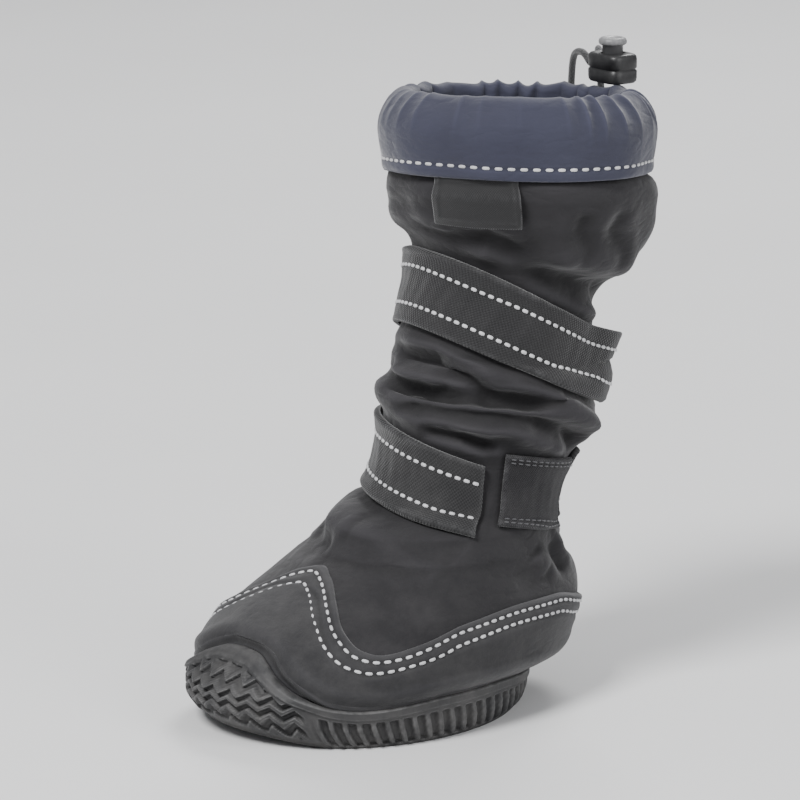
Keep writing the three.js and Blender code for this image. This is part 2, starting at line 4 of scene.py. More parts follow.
import bpy
import numpy as np
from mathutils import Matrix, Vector

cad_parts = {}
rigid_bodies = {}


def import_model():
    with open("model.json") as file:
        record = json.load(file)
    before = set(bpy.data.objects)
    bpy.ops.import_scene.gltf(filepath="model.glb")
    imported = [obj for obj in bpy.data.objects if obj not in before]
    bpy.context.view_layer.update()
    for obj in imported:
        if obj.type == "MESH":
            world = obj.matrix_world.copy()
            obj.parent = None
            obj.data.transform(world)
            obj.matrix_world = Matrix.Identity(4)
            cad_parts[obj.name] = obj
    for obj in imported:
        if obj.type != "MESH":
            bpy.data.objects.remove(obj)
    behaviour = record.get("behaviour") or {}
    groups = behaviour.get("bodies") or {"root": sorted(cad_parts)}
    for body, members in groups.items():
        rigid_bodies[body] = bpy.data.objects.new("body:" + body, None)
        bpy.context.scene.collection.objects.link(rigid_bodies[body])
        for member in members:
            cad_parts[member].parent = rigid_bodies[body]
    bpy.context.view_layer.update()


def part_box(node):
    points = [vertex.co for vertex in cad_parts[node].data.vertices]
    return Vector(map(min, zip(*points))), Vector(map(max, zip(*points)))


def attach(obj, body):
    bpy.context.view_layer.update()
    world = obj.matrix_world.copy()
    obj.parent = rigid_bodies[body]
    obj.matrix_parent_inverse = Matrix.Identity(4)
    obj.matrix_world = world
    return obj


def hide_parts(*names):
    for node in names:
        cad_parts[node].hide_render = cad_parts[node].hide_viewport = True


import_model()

MM = 0.001
FIT = 0.3

# Camera: the photograph's angle, from the toe's outer side, a little above the cuff
camera_data = bpy.data.cameras.new("camera")
camera = bpy.data.objects.new("camera", camera_data)
bpy.context.scene.collection.objects.link(camera)
bpy.context.scene.camera = camera
look_at = Vector((0.001, 0.012, 0.0775))
photo_angle = math.radians(53)
photo_reach = 1.35
camera.location = Vector((math.sin(photo_angle) * photo_reach, -math.cos(photo_angle) * photo_reach, 0.385))
camera.rotation_mode = "QUATERNION"
camera.rotation_quaternion = (look_at - camera.location).to_track_quat("-Z", "Y")
camera_data.sensor_width = 36
camera_data.lens = 252
camera_data.dof.use_dof = False
camera_data.clip_start = 0.05
camera_data.clip_end = 20

# Sizes of the boot, in millimetres
sole = dict(front=46, back=46.5, half=36.5, taper=0.045, base=4, rubber=2.4, toe_spring=3.5, heel_spring=1.5,
            flat_front=24, flat_back=38, run=4, rim_side=10.6, rim_toe=21.7, groove=1.6, groove_pitch=8.5,
            zigzag=9, wave=3.2)
foot = dict(height=45, half=36.5, heel=62, swell=4.5)
shaft = dict(wall=2.4, ankle_y=27.5, ankle_radius=24, collar=31.6, lean=0.16)
cuff = dict(y=49.4, hem=131.4, height=20.4, collar_rise=11.6, front_rise=0.074, side_rise=0.07)
label_tab = dict(width=21, drop=12.2, thickness=0.75, angle=33)
ribs = dict(count=76, depth=1.5, slant=0.06)
bumper = dict(pitch=6.4, wave=1.25, rise=3.7, depth=1.35, lip=0.55)
strap_width = 19.5
strap_gap = 0.45
shaft_height = cuff["hem"] - foot["height"]


def rows_of(columns, *rows):
    """A table of sections as one list per column."""
    return {name: np.array([r[i] for r in rows], float) for i, name in enumerate(columns.split())}


SOLE_ROWS = rows_of("at front back side", (0, .87, .92, .93), (.092, .94, .965, .975), (.276, 1, .99, 1),
                    (.507, 1, 1, 1), (.783, .91, 1, 1), (1.106, .76, 1, 1))
RIM_ROWS = rows_of("at lift", (0, 1), (8, .97), (16, .83), (28, .5), (39, .22), (50, .02), (62, -.04),
                   (90, .07), (112, .05), (140, -.12), (180, -.16))
SEAM_ROWS = rows_of("at height", (0, .85), (12, .81), (27, .71), (40, .6), (50, .535), (58, .515), (73, .55),
                    (93, .62), (110, .65), (128, .635), (142, .58), (158, .52), (180, .47))
FOOT_ROWS = rows_of("at y front back side taper", (.1, 0, .88, .72, .9, .06), (.24, 0, .9, .86, .97, .06),
                    (.35, 0, .88, .97, 1, .05), (.5, .02, .78, 1, 1, .03), (.61, .07, .7, .96, .94, 0),
                    (.74, .15, .6, .84, .85, -.03), (.82, .2, .55, .75, .8, -.04),
                    (.9, .27, .54, .67, .77, -.02))
SHAFT_ROWS = rows_of("at back radius toe", (.006, 0, 1.11, 1.2), (.064, .17, 1, 1.02), (.139, .32, .96, 1),
                     (.197, .42, .98, 1), (.243, .48, 1.03, 1), (.295, .57, 1.1, 1), (.341, .59, 1.15, 1),
                     (.382, .68, 1.07, 1), (.428, .68, 1.07, 1), (.475, .67, 1, 1), (.556, .71, .985, 1),
                     (.637, .78, .97, 1), (.694, .86, 1.02, 1), (.752, 1.01, 1.13, 1), (.816, 1.07, 1.29, 1),
                     (.88, 1.07, 1.4, 1), (.937, 1.05, 1.42, 1), (.984, 1.01, 1.33, 1))


def between(rows, column, at):
    """Value of a column at a place between rows, on a smooth curve that never overshoots."""
    x, v = rows["at"], rows[column]
    step = np.diff(v) / np.diff(x)
    slope = np.zeros(len(v))
    same = step[:-1] * step[1:] > 0
    total = np.where(same, step[:-1] + step[1:], 1)
    slope[1:-1] = np.where(same, 2 * step[:-1] * step[1:] / total, 0)
    at = np.clip(at, x[0], x[-1])
    i = np.clip(np.searchsorted(x, at, side="right") - 1, 0, len(x) - 2)
    span = x[i + 1] - x[i]
    t = (at - x[i]) / span
    ease = t * t * (3 - 2 * t)
    return v[i] + (v[i + 1] - v[i]) * ease + span * t * (1 - t) * (slope[i] * (1 - t) - slope[i + 1] * t)


def mix(a, b, t):
    return a + (b - a) * t


def spaced(count, whole=360):
    """Angles spaced evenly round a whole turn, without its end."""
    return np.linspace(0, whole, count, endpoint=False)


def smooth(low, high, x):
    t = np.clip((x - low) / (high - low), 0, 1)
    return t * t * (3 - 2 * t)


def bump(x, width):
    """A soft hill of height 1 at x = 0."""
    return np.exp(-(x / width) ** 2)


def from_toe(angle):
    turned = np.mod(angle, 360)
    return np.where(turned > 180, 360 - turned, turned)


def signed(angle):
    """Angle from the toe, minus toward the inner side."""
    return np.mod(angle + 180, 360) - 180


def rim_height(angle):
    return mix(sole["rim_side"], sole["rim_toe"], between(RIM_ROWS, "lift", from_toe(angle)))


def seam_height(angle):
    return foot["height"] * between(SEAM_ROWS, "height", from_toe(angle))


def oval(y, front, back, side, taper, angle):
    s, c = np.sin(np.radians(angle)), np.cos(np.radians(angle))
    return side * s * (1 + taper * c), y - np.where(c > 0, front, back) * c


def spring(y):
    toe = smooth(sole["flat_front"], sole["front"] + sole["run"], -y) * sole["toe_spring"]
    return toe + smooth(sole["flat_back"], sole["back"] + sole["run"], y) * sole["heel_spring"]


def settle(height):
    return 1 - smooth(sole["base"], 0.74 * sole["rim_toe"], height)


def rubber_xy(height, angle, inset=0):
    share = height / sole["rim_toe"]
    return oval(0, sole["front"] * between(SOLE_ROWS, "front", share) - inset,
                sole["back"] * between(SOLE_ROWS, "back", share) - inset,
                sole["half"] * between(SOLE_ROWS, "side", share) - inset, sole["taper"], angle)


FOOT_TOP = foot["height"] * 0.9
SHAFT_START = foot["height"] + shaft_height * 0.006


def ring_at(height):
    """Section of the boot's skin at a height: y, front, back, side, taper, rise, side rise."""
    f = height / foot["height"]
    low = [foot["heel"] * between(FOOT_ROWS, "y", f), sole["front"] * between(FOOT_ROWS, "front", f),
           foot["heel"] * between(FOOT_ROWS, "back", f), foot["half"] * between(FOOT_ROWS, "side", f),
           between(FOOT_ROWS, "taper", f), 0 * f, 0 * f]
    climb = (height - foot["height"]) / shaft_height
    radius = shaft["ankle_radius"] * between(SHAFT_ROWS, "radius", climb)
    to_cuff = smooth(0.694, 1, climb)
    rise = mix(shaft["lean"] * smooth(0, 0.21, climb), cuff["front_rise"], to_cuff)
    top = [mix(shaft["ankle_y"], cuff["y"], between(SHAFT_ROWS, "back", climb)),
           radius * between(SHAFT_ROWS, "toe", climb), radius, radius, 0 * f, rise,
           cuff["side_rise"] * to_cuff]
    t = np.clip((height - FOOT_TOP) / (SHAFT_START - FOOT_TOP), 0, 1)
    return [mix(a, b, t) for a, b in zip(low, top)]


RIM_LEVEL = 12
FREE_LEVEL = 34


def level_height(level, angle):
    rim = rim_height(angle) + FIT
    low = mix(sole["base"] + FIT, rim, level / RIM_LEVEL)
    middle = mix(rim, FREE_LEVEL, (level - RIM_LEVEL) / (FREE_LEVEL - RIM_LEVEL))
    return np.where(level <= RIM_LEVEL, low, np.where(level <= FREE_LEVEL, middle, level))


def skin(level, angle):
    """Points of the boot's smooth outer skin, x, y, z in the last axis."""
    level, angle = np.broadcast_arrays(np.asarray(level, float), np.asarray(angle, float))
    height = level_height(level, angle)
    y0, front, back, side, taper, rise, side_rise = ring_at(height)
    x, y = oval(y0, front, back, side, taper, angle)
    out = smooth(4 * FIT, foot["swell"], height - rim_height(angle))
    cx, cy = rubber_xy(height, angle, sole["rubber"] + 2 * FIT)
    x, y = mix(cx, x, out), mix(cy, y, out)
    z = height + rise * (y0 - y) + side_rise * x + spring(y) * settle(height)
    return np.stack([x, y, z], -1)


def unit(v):
    return v / np.maximum(np.linalg.norm(v, axis=-1, keepdims=True), 1e-9)


def normal_of_skin(level, angle):
    d = 0.4
    up = skin(level + d, angle) - skin(np.maximum(0, level - d), angle)
    along = skin(level, angle + d) - skin(level, angle - d)
    return unit(np.cross(along, up))


def level_at(height, angle):
    low, high = np.zeros(np.shape(angle)), np.full(np.shape(angle), 200.0)
    for _ in range(20):
        middle = (low + high) / 2
        under = skin(middle, angle)[..., 2] < height
        low, high = np.where(under, middle, low), np.where(under, high, middle)
    return (low + high) / 2


# Planes of the straps: height on the axis, rise to the toe and the outer side, first and last angle, slant
STRAPS = {
    "upper_strap": dict(height=92.1, front=.5, side=-.053, start=-108, end=146, slant=20),
    "upper_strap_back": dict(height=90, front=.25, side=0, start=158, end=232, slant=0),
    "lower_strap": dict(height=55.1, front=.19, side=-.2, start=-110, end=64, slant=-11),
    "lower_strap_back": dict(height=56, front=.13, side=0, start=144, end=236, slant=0),
    "lower_strap_patch": dict(height=54.8, front=.17, side=0, start=74, end=134, slant=-11),
}


def strap_middle(plane, angle):
    height = np.full(np.shape(angle), float(plane["height"]))
    for _ in range(3):
        p = skin(level_at(height, angle), angle)
        forward = ring_at(p[..., 2])[0] - p[..., 1]
        height = plane["height"] + plane["front"] * forward + plane["side"] * p[..., 0]
    return level_at(height, angle)


def strap_level(plane, angle, shift):
    """Level of the skin a given way above or below the strap's middle line."""
    middle = strap_middle(plane, angle)
    shift = np.broadcast_to(shift, np.shape(angle))
    steps = np.arange(0, 64) * 0.25 * np.where(shift >= 0, 1, -1)[..., None]
    levels = middle[..., None] + steps
    p = skin(levels, np.broadcast_to(np.asarray(angle, float)[..., None], levels.shape))
    reach = np.linalg.norm(p - p[..., :1, :], axis=-1)
    far = reach >= np.abs(shift)[..., None]
    i = np.clip(np.argmax(far, -1), 1, 63)[..., None]
    r0, r1 = np.take_along_axis(reach, i - 1, -1)[..., 0], np.take_along_axis(reach, i, -1)[..., 0]
    l0, l1 = np.take_along_axis(levels, i - 1, -1)[..., 0], np.take_along_axis(levels, i, -1)[..., 0]
    return l0 + (l1 - l0) * np.clip((np.abs(shift) - r0) / np.maximum(r1 - r0, 1e-6), 0, 1)


# Folds placed one by one: depth (minus is a trough), half width, and a line as angle from the toe and height
FOLDS = [
    (-1.8, 1.7, [(-20, 87), (16, 87.6), (36, 84.2), (58, 79)]),
    (1.2, 2.0, [(-24, 83.6), (8, 83.9), (26, 82.8)]),
    (-2.0, 1.6, [(-22, 80), (8, 80.3), (27, 79.8), (62, 79), (98, 76)]),
    (-1.4, 1.5, [(-10, 76), (19, 76.4), (54, 75.4), (80, 73.4)]),
    (1.1, 1.8, [(30, 73.2), (60, 72.2), (84, 69.6)]),
    (-2.0, 2.0, [(64, 75.4), (92, 70.4), (122, 64.5), (142, 56)]),
    (-1.6, 1.6, [(12, 70.9), (41, 70), (64, 66.6)]),
    (1.3, 2.4, [(96, 66), (120, 59), (140, 51)]),
    (1.3, 2.6, [(78, 81.5), (104, 76), (134, 68)]),
    (-2.5, 2.6, [(44, 113), (76, 107.8), (100, 104), (126, 102.4), (150, 99)]),
    (1.6, 3.2, [(58, 119), (96, 112.5), (132, 109)]),
    (-1.2, 2.2, [(-10, 121.5), (15, 118.4), (36, 120), (58, 114.5)]),
    (1.0, 3.0, [(-14, 116), (18, 113.4), (44, 114.5)]),
    (-0.9, 2.4, [(80, 127), (78, 120.5), (87, 113)]),
    (-0.9, 2.4, [(102, 127), (97, 119.4), (112, 110.4)]),
    (-1.3, 1.8, [(128, 44), (135, 38), (139, 31)]),
    (1.0, 2.6, [(118, 40), (126, 34)]),
    (-1.2, 2.2, [(144, 40), (160, 36), (178, 32)]),
    (1.1, 3.0, [(140, 50), (158, 44), (182, 40)]),
    (1.0, 3.4, [(-30, 47), (-14, 48.5), (4, 47)]),
    (-1.0, 2.2, [(-44, 43), (-24, 42), (-6, 43)]),
    (-1.4, 2.3, [(-62, 46), (-96, 40), (-128, 33), (-152, 29)]),
    (1.0, 2.8, [(-70, 52), (-104, 46), (-136, 39)]),
    (-1.8, 2.0, [(-36, 77), (-74, 74), (-112, 68), (-142, 60)]),
    (-1.5, 1.8, [(-52, 69), (-86, 67), (-116, 61)]),
    (1.1, 2.2, [(-44, 82), (-84, 79.5), (-120, 73)]),
    (-1.8, 2.4, [(-46, 112), (-84, 108), (-120, 102), (-150, 99)]),
    (1.3, 3.0, [(-60, 118), (-98, 114), (-140, 108)]),
    (-1.2, 2.0, [(-88, 128), (-94, 119), (-86, 111)]),
    (-1.5, 2.2, [(158, 76), (180, 73), (206, 76)]),
    (-1.7, 2.4, [(150, 106), (180, 104.5), (212, 107)]),
    (1.3, 3.0, [(152, 116), (180, 113), (208, 116)]),
]
AROUND = 30.0


def distance_to_line(s, z, line):
    """Distance from points to a line of (angle, height), and how far along it they are, 0 to 1."""
    best, where = np.full(s.shape, 1e9), np.zeros(s.shape)
    pts = [(math.radians(a) * AROUND, h) for a, h in line]
    lengths = [math.dist(a, b) for a, b in zip(pts, pts[1:])]
    run, total = 0.0, sum(lengths)
    for (a, b), length in zip(zip(pts, pts[1:]), lengths):
        dx, dz = b[0] - a[0], b[1] - a[1]
        for turn in (-1, 0, 1):
            x = s + turn * 2 * math.pi * AROUND - a[0]
            t = np.clip((x * dx + (z - a[1]) * dz) / (length * length), 0, 1)
            d = np.hypot(x - t * dx, z - a[1] - t * dz)
            near = d < best
            best, where = np.where(near, d, best), np.where(near, (run + t * length) / total, where)
        run += length
    return best, where


def strap_cover(point, angle, name, spread):
    """1 under a strap, fading out past its edges and its ends."""
    plane = STRAPS[name]
    forward = ring_at(point[..., 2])[0] - point[..., 1]
    off = point[..., 2] - plane["height"] - plane["front"] * forward - plane["side"] * point[..., 0]
    turned = np.mod(angle - plane["start"] + 20, 360) - 20
    along = smooth(-8, 2, turned) * (1 - smooth(-2, 8, turned - (plane["end"] - plane["start"])))
    return off, (1 - smooth(strap_width / 2 - 1, strap_width / 2 + spread, np.abs(off))) * along, along


def fold_field(level, angle):
    """How far the fabric stands off its smooth skin, in millimetres."""
    p = skin(level, angle)
    a = signed(np.broadcast_to(np.asarray(angle, float), p.shape[:-1]))
    s, z = np.radians(a) * AROUND, p[..., 2]
    out = np.zeros(z.shape)
    # deeper between the two straps, where the cloth is slack
    slack = 1.25 + 0.4 * smooth(56, 64, z) * (1 - smooth(90, 100, z))
    for depth, width, line in FOLDS:
        d, t = distance_to_line(s, z, line)
        ends = smooth(0, 0.22, t) * (1 - smooth(0.78, 1, t))
        out += slack * depth * ends * (bump(d, width) - 0.3 * bump(d - 2.1 * width, width))
    # slow swells all over, and upright pinches under the gathered cuff
    turned = np.radians(a)
    wave = (np.sin(3.1 * turned + 0.11 * z + 1.3) * np.sin(0.17 * z - 2.3 * turned + 0.4)
            + 0.6 * np.sin(5.3 * turned - 0.23 * z + 2.1) * np.sin(0.31 * z + 3.7 * turned))
    out += 0.4 * wave * smooth(20, 34, z) * (1 + 0.5 * smooth(100, 116, z))
    out += 0.35 * np.sin(9 * turned + 1.7 * np.sin(2 * turned) + 0.5) * smooth(104, 126, z)
    # pressed flat under the straps, and bulging a little just past their edges
    for name in STRAPS:
        off, under, along = strap_cover(p, a, name, 3.5)
        out = out * (1 - 0.85 * under) - 0.5 * under
        soft = 1.0 if name != "lower_strap_patch" else 0.3
        out += soft * 0.75 * along * bump(np.abs(off) - strap_width / 2 - 3.4, 2.2)
    return out * smooth(1.5, 7, z - rim_height(a))


def fabric(level, angle, offset):
    """The folded fabric's surface, moved outward by an offset."""
    d = np.asarray(offset) + fold_field(level, angle)
    return skin(level, angle) + normal_of_skin(level, angle) * d[..., None]


# Mesh making
def mesh_piece(name, points, faces):
    mesh = bpy.data.meshes.new(name)
    mesh.from_pydata((np.asarray(points).reshape(-1, 3) * MM).tolist(), [], faces)
    mesh.polygons.foreach_set("use_smooth", [True] * len(mesh.polygons))
    mesh.update()
    piece = bpy.data.objects.new(name, mesh)
    bpy.context.scene.collection.objects.link(piece)
    return piece


def grid_faces(rows, columns, closed=False):
    """Quads of a grid whose columns run round and whose rows run up, facing out."""
    r = np.arange(rows if closed else rows - 1)[:, None]
    c = np.arange(columns)[None, :]
    r1, c1 = (r + 1) % rows, (c + 1) % columns
    corners = (r * columns + c, r * columns + c1, r1 * columns + c1, r1 * columns + c)
    quads = np.stack(np.broadcast_arrays(*corners), -1)
    return quads.reshape(-1, 4).tolist()


def capped_faces(rows, columns):
    """Quads of a grid that runs round, closed by a flat face at its first and last row."""
    first_row = list(range(columns))
    last_row = list(range((rows - 1) * columns, rows * columns))
    return grid_faces(rows, columns) + [first_row[::-1], last_row]


def circle(radius, z, turn):
    return np.stack([radius * np.cos(turn), radius * np.sin(turn), np.full(len(turn), z)], -1)


def run_along(line):
    """Length run from the start of a line to each of its points."""
    return np.concatenate([[0], np.cumsum(np.linalg.norm(np.diff(line, axis=0), axis=1))])


def set_coordinates(piece, along, across):
    """Millimetres along and across the cloth, for its weave."""
    data = piece.data.attributes.new("cloth_mm", "FLOAT_VECTOR", "POINT")
    values = np.stack([np.ravel(along), np.ravel(across), np.zeros(np.size(along))], -1)
    data.data.foreach_set("vector", values.astype(np.float32).ravel())


def ride_shoe(piece, slot, *nodes):
    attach(piece, "shoe")
    if nodes:
        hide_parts(*nodes)
    return piece


def tube(name, path, radius, sides=12):
    """A round cord along a path, with flat capped ends."""
    path = np.asarray(path, float)
    tangent = unit(np.gradient(path, axis=0))
    normal = np.cross(tangent[0], (0.3, 0.2, 0.93))
    frames = []
    for t in tangent:
        normal = unit(normal - t * np.dot(normal, t))
        frames.append((normal, np.cross(t, normal)))
    turn = spaced(sides, 2 * np.pi)
    rings = [p + radius * (np.cos(turn)[:, None] * n + np.sin(turn)[:, None] * b)
             for p, (n, b) in zip(path, frames)]
    piece = mesh_piece(name, rings, capped_faces(len(rings), sides))
    set_coordinates(piece, np.repeat(run_along(path), sides), np.tile(turn * radius, len(path)))
    return piece


def through(points, count):
    """A smooth curve through points, evenly spaced."""
    p = np.asarray(points, float)
    p = np.vstack([2 * p[0] - p[1], p, 2 * p[-1] - p[-2]])
    fine = []
    for i in range(1, len(p) - 2):
        t = np.linspace(0, 1, 24, endpoint=False)[:, None]
        fine.append(0.5 * (2 * p[i] + (p[i + 1] - p[i - 1]) * t
                           + (2 * p[i - 1] - 5 * p[i] + 4 * p[i + 1] - p[i + 2]) * t ** 2
                           + (3 * p[i] - p[i - 1] - 3 * p[i + 1] + p[i + 2]) * t ** 3))
    fine = np.vstack(fine + [p[-2][None]])
    run = run_along(fine)
    at = np.linspace(0, run[-1], count)
    return np.stack([np.interp(at, run, fine[:, k]) for k in range(3)], -1)


STITCH_HEIGHT = 0.5
# Places of a stitch's rings along its length, and how thick it is there
STITCH_PLACES = np.array([-0.5, -0.38, 0, 0.38, 0.5])
STITCH_THICK = (0.25, 0.85, 1, 0.85, 0.25)


def stitches(name, rows, length, pitch, width=0.85):
    """Rows of short thread stitches. A row is (points, normals) along its line."""
    points, faces = [], []
    sides = 8
    turn = spaced(sides, 2 * np.pi)
    stitch_faces = capped_faces(len(STITCH_THICK), sides)
    for line, normals in rows:
        run = run_along(line)
        count = max(1, int(run[-1] / pitch))
        gap = run[-1] / count
        for i in range(count):
            at = (i + 0.5) * gap + STITCH_PLACES * length
            p = np.stack([np.interp(at, run, line[:, k]) for k in range(3)], -1)
            n = unit(np.stack([np.interp(at, run, normals[:, k]) for k in range(3)], -1))
            t = unit(np.gradient(p, axis=0))
            b = np.cross(t, n)
            first = len(points) * sides
            for j, thick in enumerate(STITCH_THICK):
                w, h = width / 2 * thick, STITCH_HEIGHT * thick
                over = np.sin(turn) * h / 2 + h * 0.25
                points.append(p[j] + b[j] * (np.cos(turn) * w)[:, None] + n[j] * over[:, None])
            faces += [[corner + first for corner in face] for face in stitch_faces]
    return mesh_piece(name, np.array(points), faces)


def on_cuff(radius, height, a):
    """A point round the cuff's axis, on its tilted plane, at an angle in radians."""
    tilt = cuff["front_rise"] * radius * np.cos(a) + cuff["side_rise"] * radius * np.sin(a)
    return np.stack([radius * np.sin(a), cuff["y"] - radius * np.cos(a), height + tilt], -1)


# Fabric shell of the foot and the shaft: folded outside, turned-in collar, lining inside
def make_upper():
    columns = 330
    angle = spaced(columns)[None, :]
    # few rows where the cup hides the cloth, then one about every 0.7 mm
    levels = np.concatenate([np.linspace(0, 11, 4), np.linspace(12, 30, 26), np.linspace(31, 126, 138)])
    outer = fabric(levels[:, None], angle, 0.0)

    def collar(height, inset):
        return on_cuff(shaft["collar"] - inset, height, np.radians(angle[0]))

    low, high = outer[-1], collar(cuff["hem"] - FIT, 0)
    turn_in = [np.stack([mix(low[:, 0], high[:, 0], t ** 2), mix(low[:, 1], high[:, 1], t ** 2),
                         mix(low[:, 2], high[:, 2], 1 - (1 - t) ** 1.6)], -1) for t in np.linspace(0.2, 1, 5)]
    top = cuff["hem"] + cuff["collar_rise"]
    rims = [collar(top - 6, 0), collar(top - 0.5, 0), collar(top, 0.7), collar(top, shaft["wall"] - 0.7),
            collar(top - 0.5, shaft["wall"]), collar(cuff["hem"], shaft["wall"])]
    # the lining keeps clear of the deepest trough near it
    lining = []
    for level in np.linspace(124, 1, 60):
        at = np.full(columns, level)
        near = [fold_field(np.maximum(0.5, at + step), angle[0]) for step in (-2.4, -1.2, 0, 1.2, 2.4)]
        inset = np.maximum(shaft["wall"], 1.1 - np.min(near, axis=0))
        lining.append(skin(at, angle[0]) - normal_of_skin(at, angle[0]) * inset[:, None])
    lining[-1][:, 2] = np.maximum(lining[-1][:, 2], outer[0][:, 2])
    rings = list(outer) + turn_in + rims + lining
    piece = mesh_piece("upper_shell", rings, grid_faces(len(rings), columns, closed=True))
    return ride_shoe(piece, "black_cloth", "upper")


# Guard panel sewn round the foot, with a folded top edge and two stitched rows sunk into it
GUARD_PROUD = 1.5
GUARD_BACK = 0.12
GUARD_ROWS = (1.7, 4.1)
FOOT_RADIUS = 38


def seam_slope(angle):
    """Cosine and sine of the seam's lie on the cloth, at the foot's usual distance from its middle."""
    rise = (seam_height(angle + 0.5) - seam_height(angle - 0.5)) / (math.radians(1) * FOOT_RADIUS)
    run = np.sqrt(1 + rise * rise)
    return 1 / run, rise / run


def make_guard():
    columns = 360
    angle = spaced(columns)
    seam = level_at(seam_height(angle), angle)
    cosine, _ = seam_slope(angle)
    low = RIM_LEVEL - 0.6
    rings = []
    for share in np.linspace(0, 1, 52):
        level = mix(low, seam, share)
        under = (1 - share) * (seam - low) * cosine
        sunk = sum(0.34 * bump(under - row, 0.6) for row in GUARD_ROWS)
        edge = np.sqrt(1 - (1 - np.clip(under / 1.1, 0, 1)) ** 2)
        base = skin(level, angle)
        over_rim = base[:, 2] - rim_height(angle) - spring(base[:, 1])
        inside_cup = smooth(-1.2, 0.3, over_rim)
        # the panel swells over the rim's edge, less so round the toe
        round_toe = 1 - 0.75 * (1 - smooth(16, 46, from_toe(angle)))
        rest = 1.1 * round_toe * smooth(-1.1, 0.2, over_rim) * (1 - smooth(2.0, 6.0, over_rim))
        rings.append(fabric(level, angle, FIT + (GUARD_PROUD - FIT) * edge * inside_cup + rest - sunk))
    rings += [fabric(mix(low, seam, share), angle, GUARD_BACK) for share in np.linspace(1, 0, 14)]
    piece = mesh_piece("guard_panel", rings, grid_faces(len(rings), columns, closed=True))
    ride_shoe(piece, "black_cloth", "foot_guard")
    rows = []
    fine = np.linspace(0, 360, 1100)
    cosine, sine = seam_slope(fine)
    for under in GUARD_ROWS:
        at = fine + np.degrees(under * sine / FOOT_RADIUS)
        level = level_at(seam_height(fine) - under * cosine, at)
        line = fabric(level, at, GUARD_PROUD - FIT)
        rows.append((line, normal_of_skin(level, at)))
    thread = stitches("guard_stitches", rows, length=1.8, pitch=2.75)
    ride_shoe(thread, "webbing")
    return piece


def free_lift(name, angle, share):
    """How far the free tip of the upper strap stands off the shaft."""
    if name != "upper_strap":
        return 0 * angle
    return 6.5 * (0.6 + share) * smooth(108, STRAPS[name]["end"], angle)


# A strap of webbing with thick woven edges and square ends, and its rows of stitches
def make_strap(name, slot, thickness, stitch_rows, length=1.55, pitch=2.3, thread=0.95):
    plane = STRAPS[name]
    count = int((plane["end"] - plane["start"]) * 0.9)
    along = np.linspace(0, 1, count)
    reach = np.radians(plane["end"] - plane["start"]) * AROUND
    angle = mix(plane["start"], plane["end"], along)

    def sheet(at_angle, shares, lift):
        """Points and normals of the strap's sheet: places along it by places across it."""
        turned = at_angle[:, None] + shares[None, :] * plane["slant"]
        level = strap_level(plane, turned, shares[None, :] * strap_width)
        field = 0.35 * np.clip(fold_field(level, turned), -0.6, 0.6)
        out = normal_of_skin(level, turned)
        away = lift + field + free_lift(name, at_angle[:, None], shares[None, :])
        return skin(level, turned) + out * away[..., None], out

    # rounded sides and ends, a thicker woven edge, seams sunk by their thread, and a slight ripple
    shares = np.sin(np.linspace(-np.pi / 2, np.pi / 2, 31)) * 0.5
    side = np.abs(shares) * 2
    edge = np.sqrt(np.clip(1 - (np.maximum(0, side - 0.94) / 0.06) ** 2, 0, 1))
    hem = 0.18 * bump(side - 0.91, 0.08)
    sunk = sum(0.2 * bump((shares - row) * strap_width, 0.6) for row in stitch_rows)
    turned = np.radians(angle)[:, None]
    ripple = 0.12 * np.sin(17 * turned) + 0.07 * np.sin(39 * turned)
    from_end = np.clip(np.minimum(along, 1 - along) * reach / 0.8, 0, 1)[:, None]
    ends = np.sqrt(1 - (1 - from_end) ** 2)
    body = thickness * (0.4 + 0.6 * edge * (0.35 + 0.65 * ends))
    lift = strap_gap + body + hem - sunk + ripple * (1 - side)
    face, _ = sheet(angle, shares, lift)
    under, _ = sheet(angle, shares[::-3], np.full((count, len(shares[::-3])), strap_gap))
    rings = np.concatenate([face, under], 1)[::-1]
    columns = rings.shape[1]
    piece = mesh_piece(name + "_webbing", rings, capped_faces(count, columns))
    across = np.concatenate([shares, shares[::-3]]) * strap_width
    set_coordinates(piece, np.repeat((1 - along) * reach, columns), np.tile(across, count))
    ride_shoe(piece, slot, name)
    rows = []
    for row in stitch_rows:
        line, out = sheet(angle, np.array([row]), strap_gap + thickness - 0.08)
        rows.append((line[2:-2, 0], out[2:-2, 0]))
    made = stitches(name + "_stitches", rows, length=length, pitch=pitch, width=thread)
    ride_shoe(made, slot)
    return piece


# Padded cuff: outer flap, gathered top rolled to the mouth, lining inside, and the slot for the collar
def gathers(angle):
    """Sharp pleats at uneven distances round the cuff's top, from about -1 to 1."""
    a = np.radians(angle)
    warped = a + 0.09 * np.sin(3 * a + 1.0) + 0.05 * np.sin(7 * a + 2.0) + 0.025 * np.sin(13 * a)
    sharp = 1 - 2 * np.abs(np.sin(14 * warped)) ** 0.75
    return sharp * (0.75 + 0.35 * np.sin(5 * a + 0.6)) + 0.35 * np.sin(9 * warped + 0.8)


# Outline of the cuff where it shows, as radius and rise over the hem: up the flap, over the top, down inside
CUFF_PROFILE = [(34.0, -0.1), (34.45, 0.9), (34.55, 3.4), (35.0, 6.4), (35.35, 10.2), (34.9, 13.2),
                (33.6, 16.0), (31.4, 18.7), (29.2, 20.1), (27.4, 20.2), (26.0, 19.2), (25.6, 17.2),
                (25.8, 14.0), (26.7, 9.6)]
# The hidden rest of it: the slot that the shaft's collar stands in
CUFF_HIDDEN = [(28.7, 8.6), (28.9, 9.2), (28.9, 11.9), (31.9, 11.9), (32.0, 8), (32.1, 3), (32.2, 0.2),
               (33.0, -0.2)]
CUFF_STITCH = 2.9


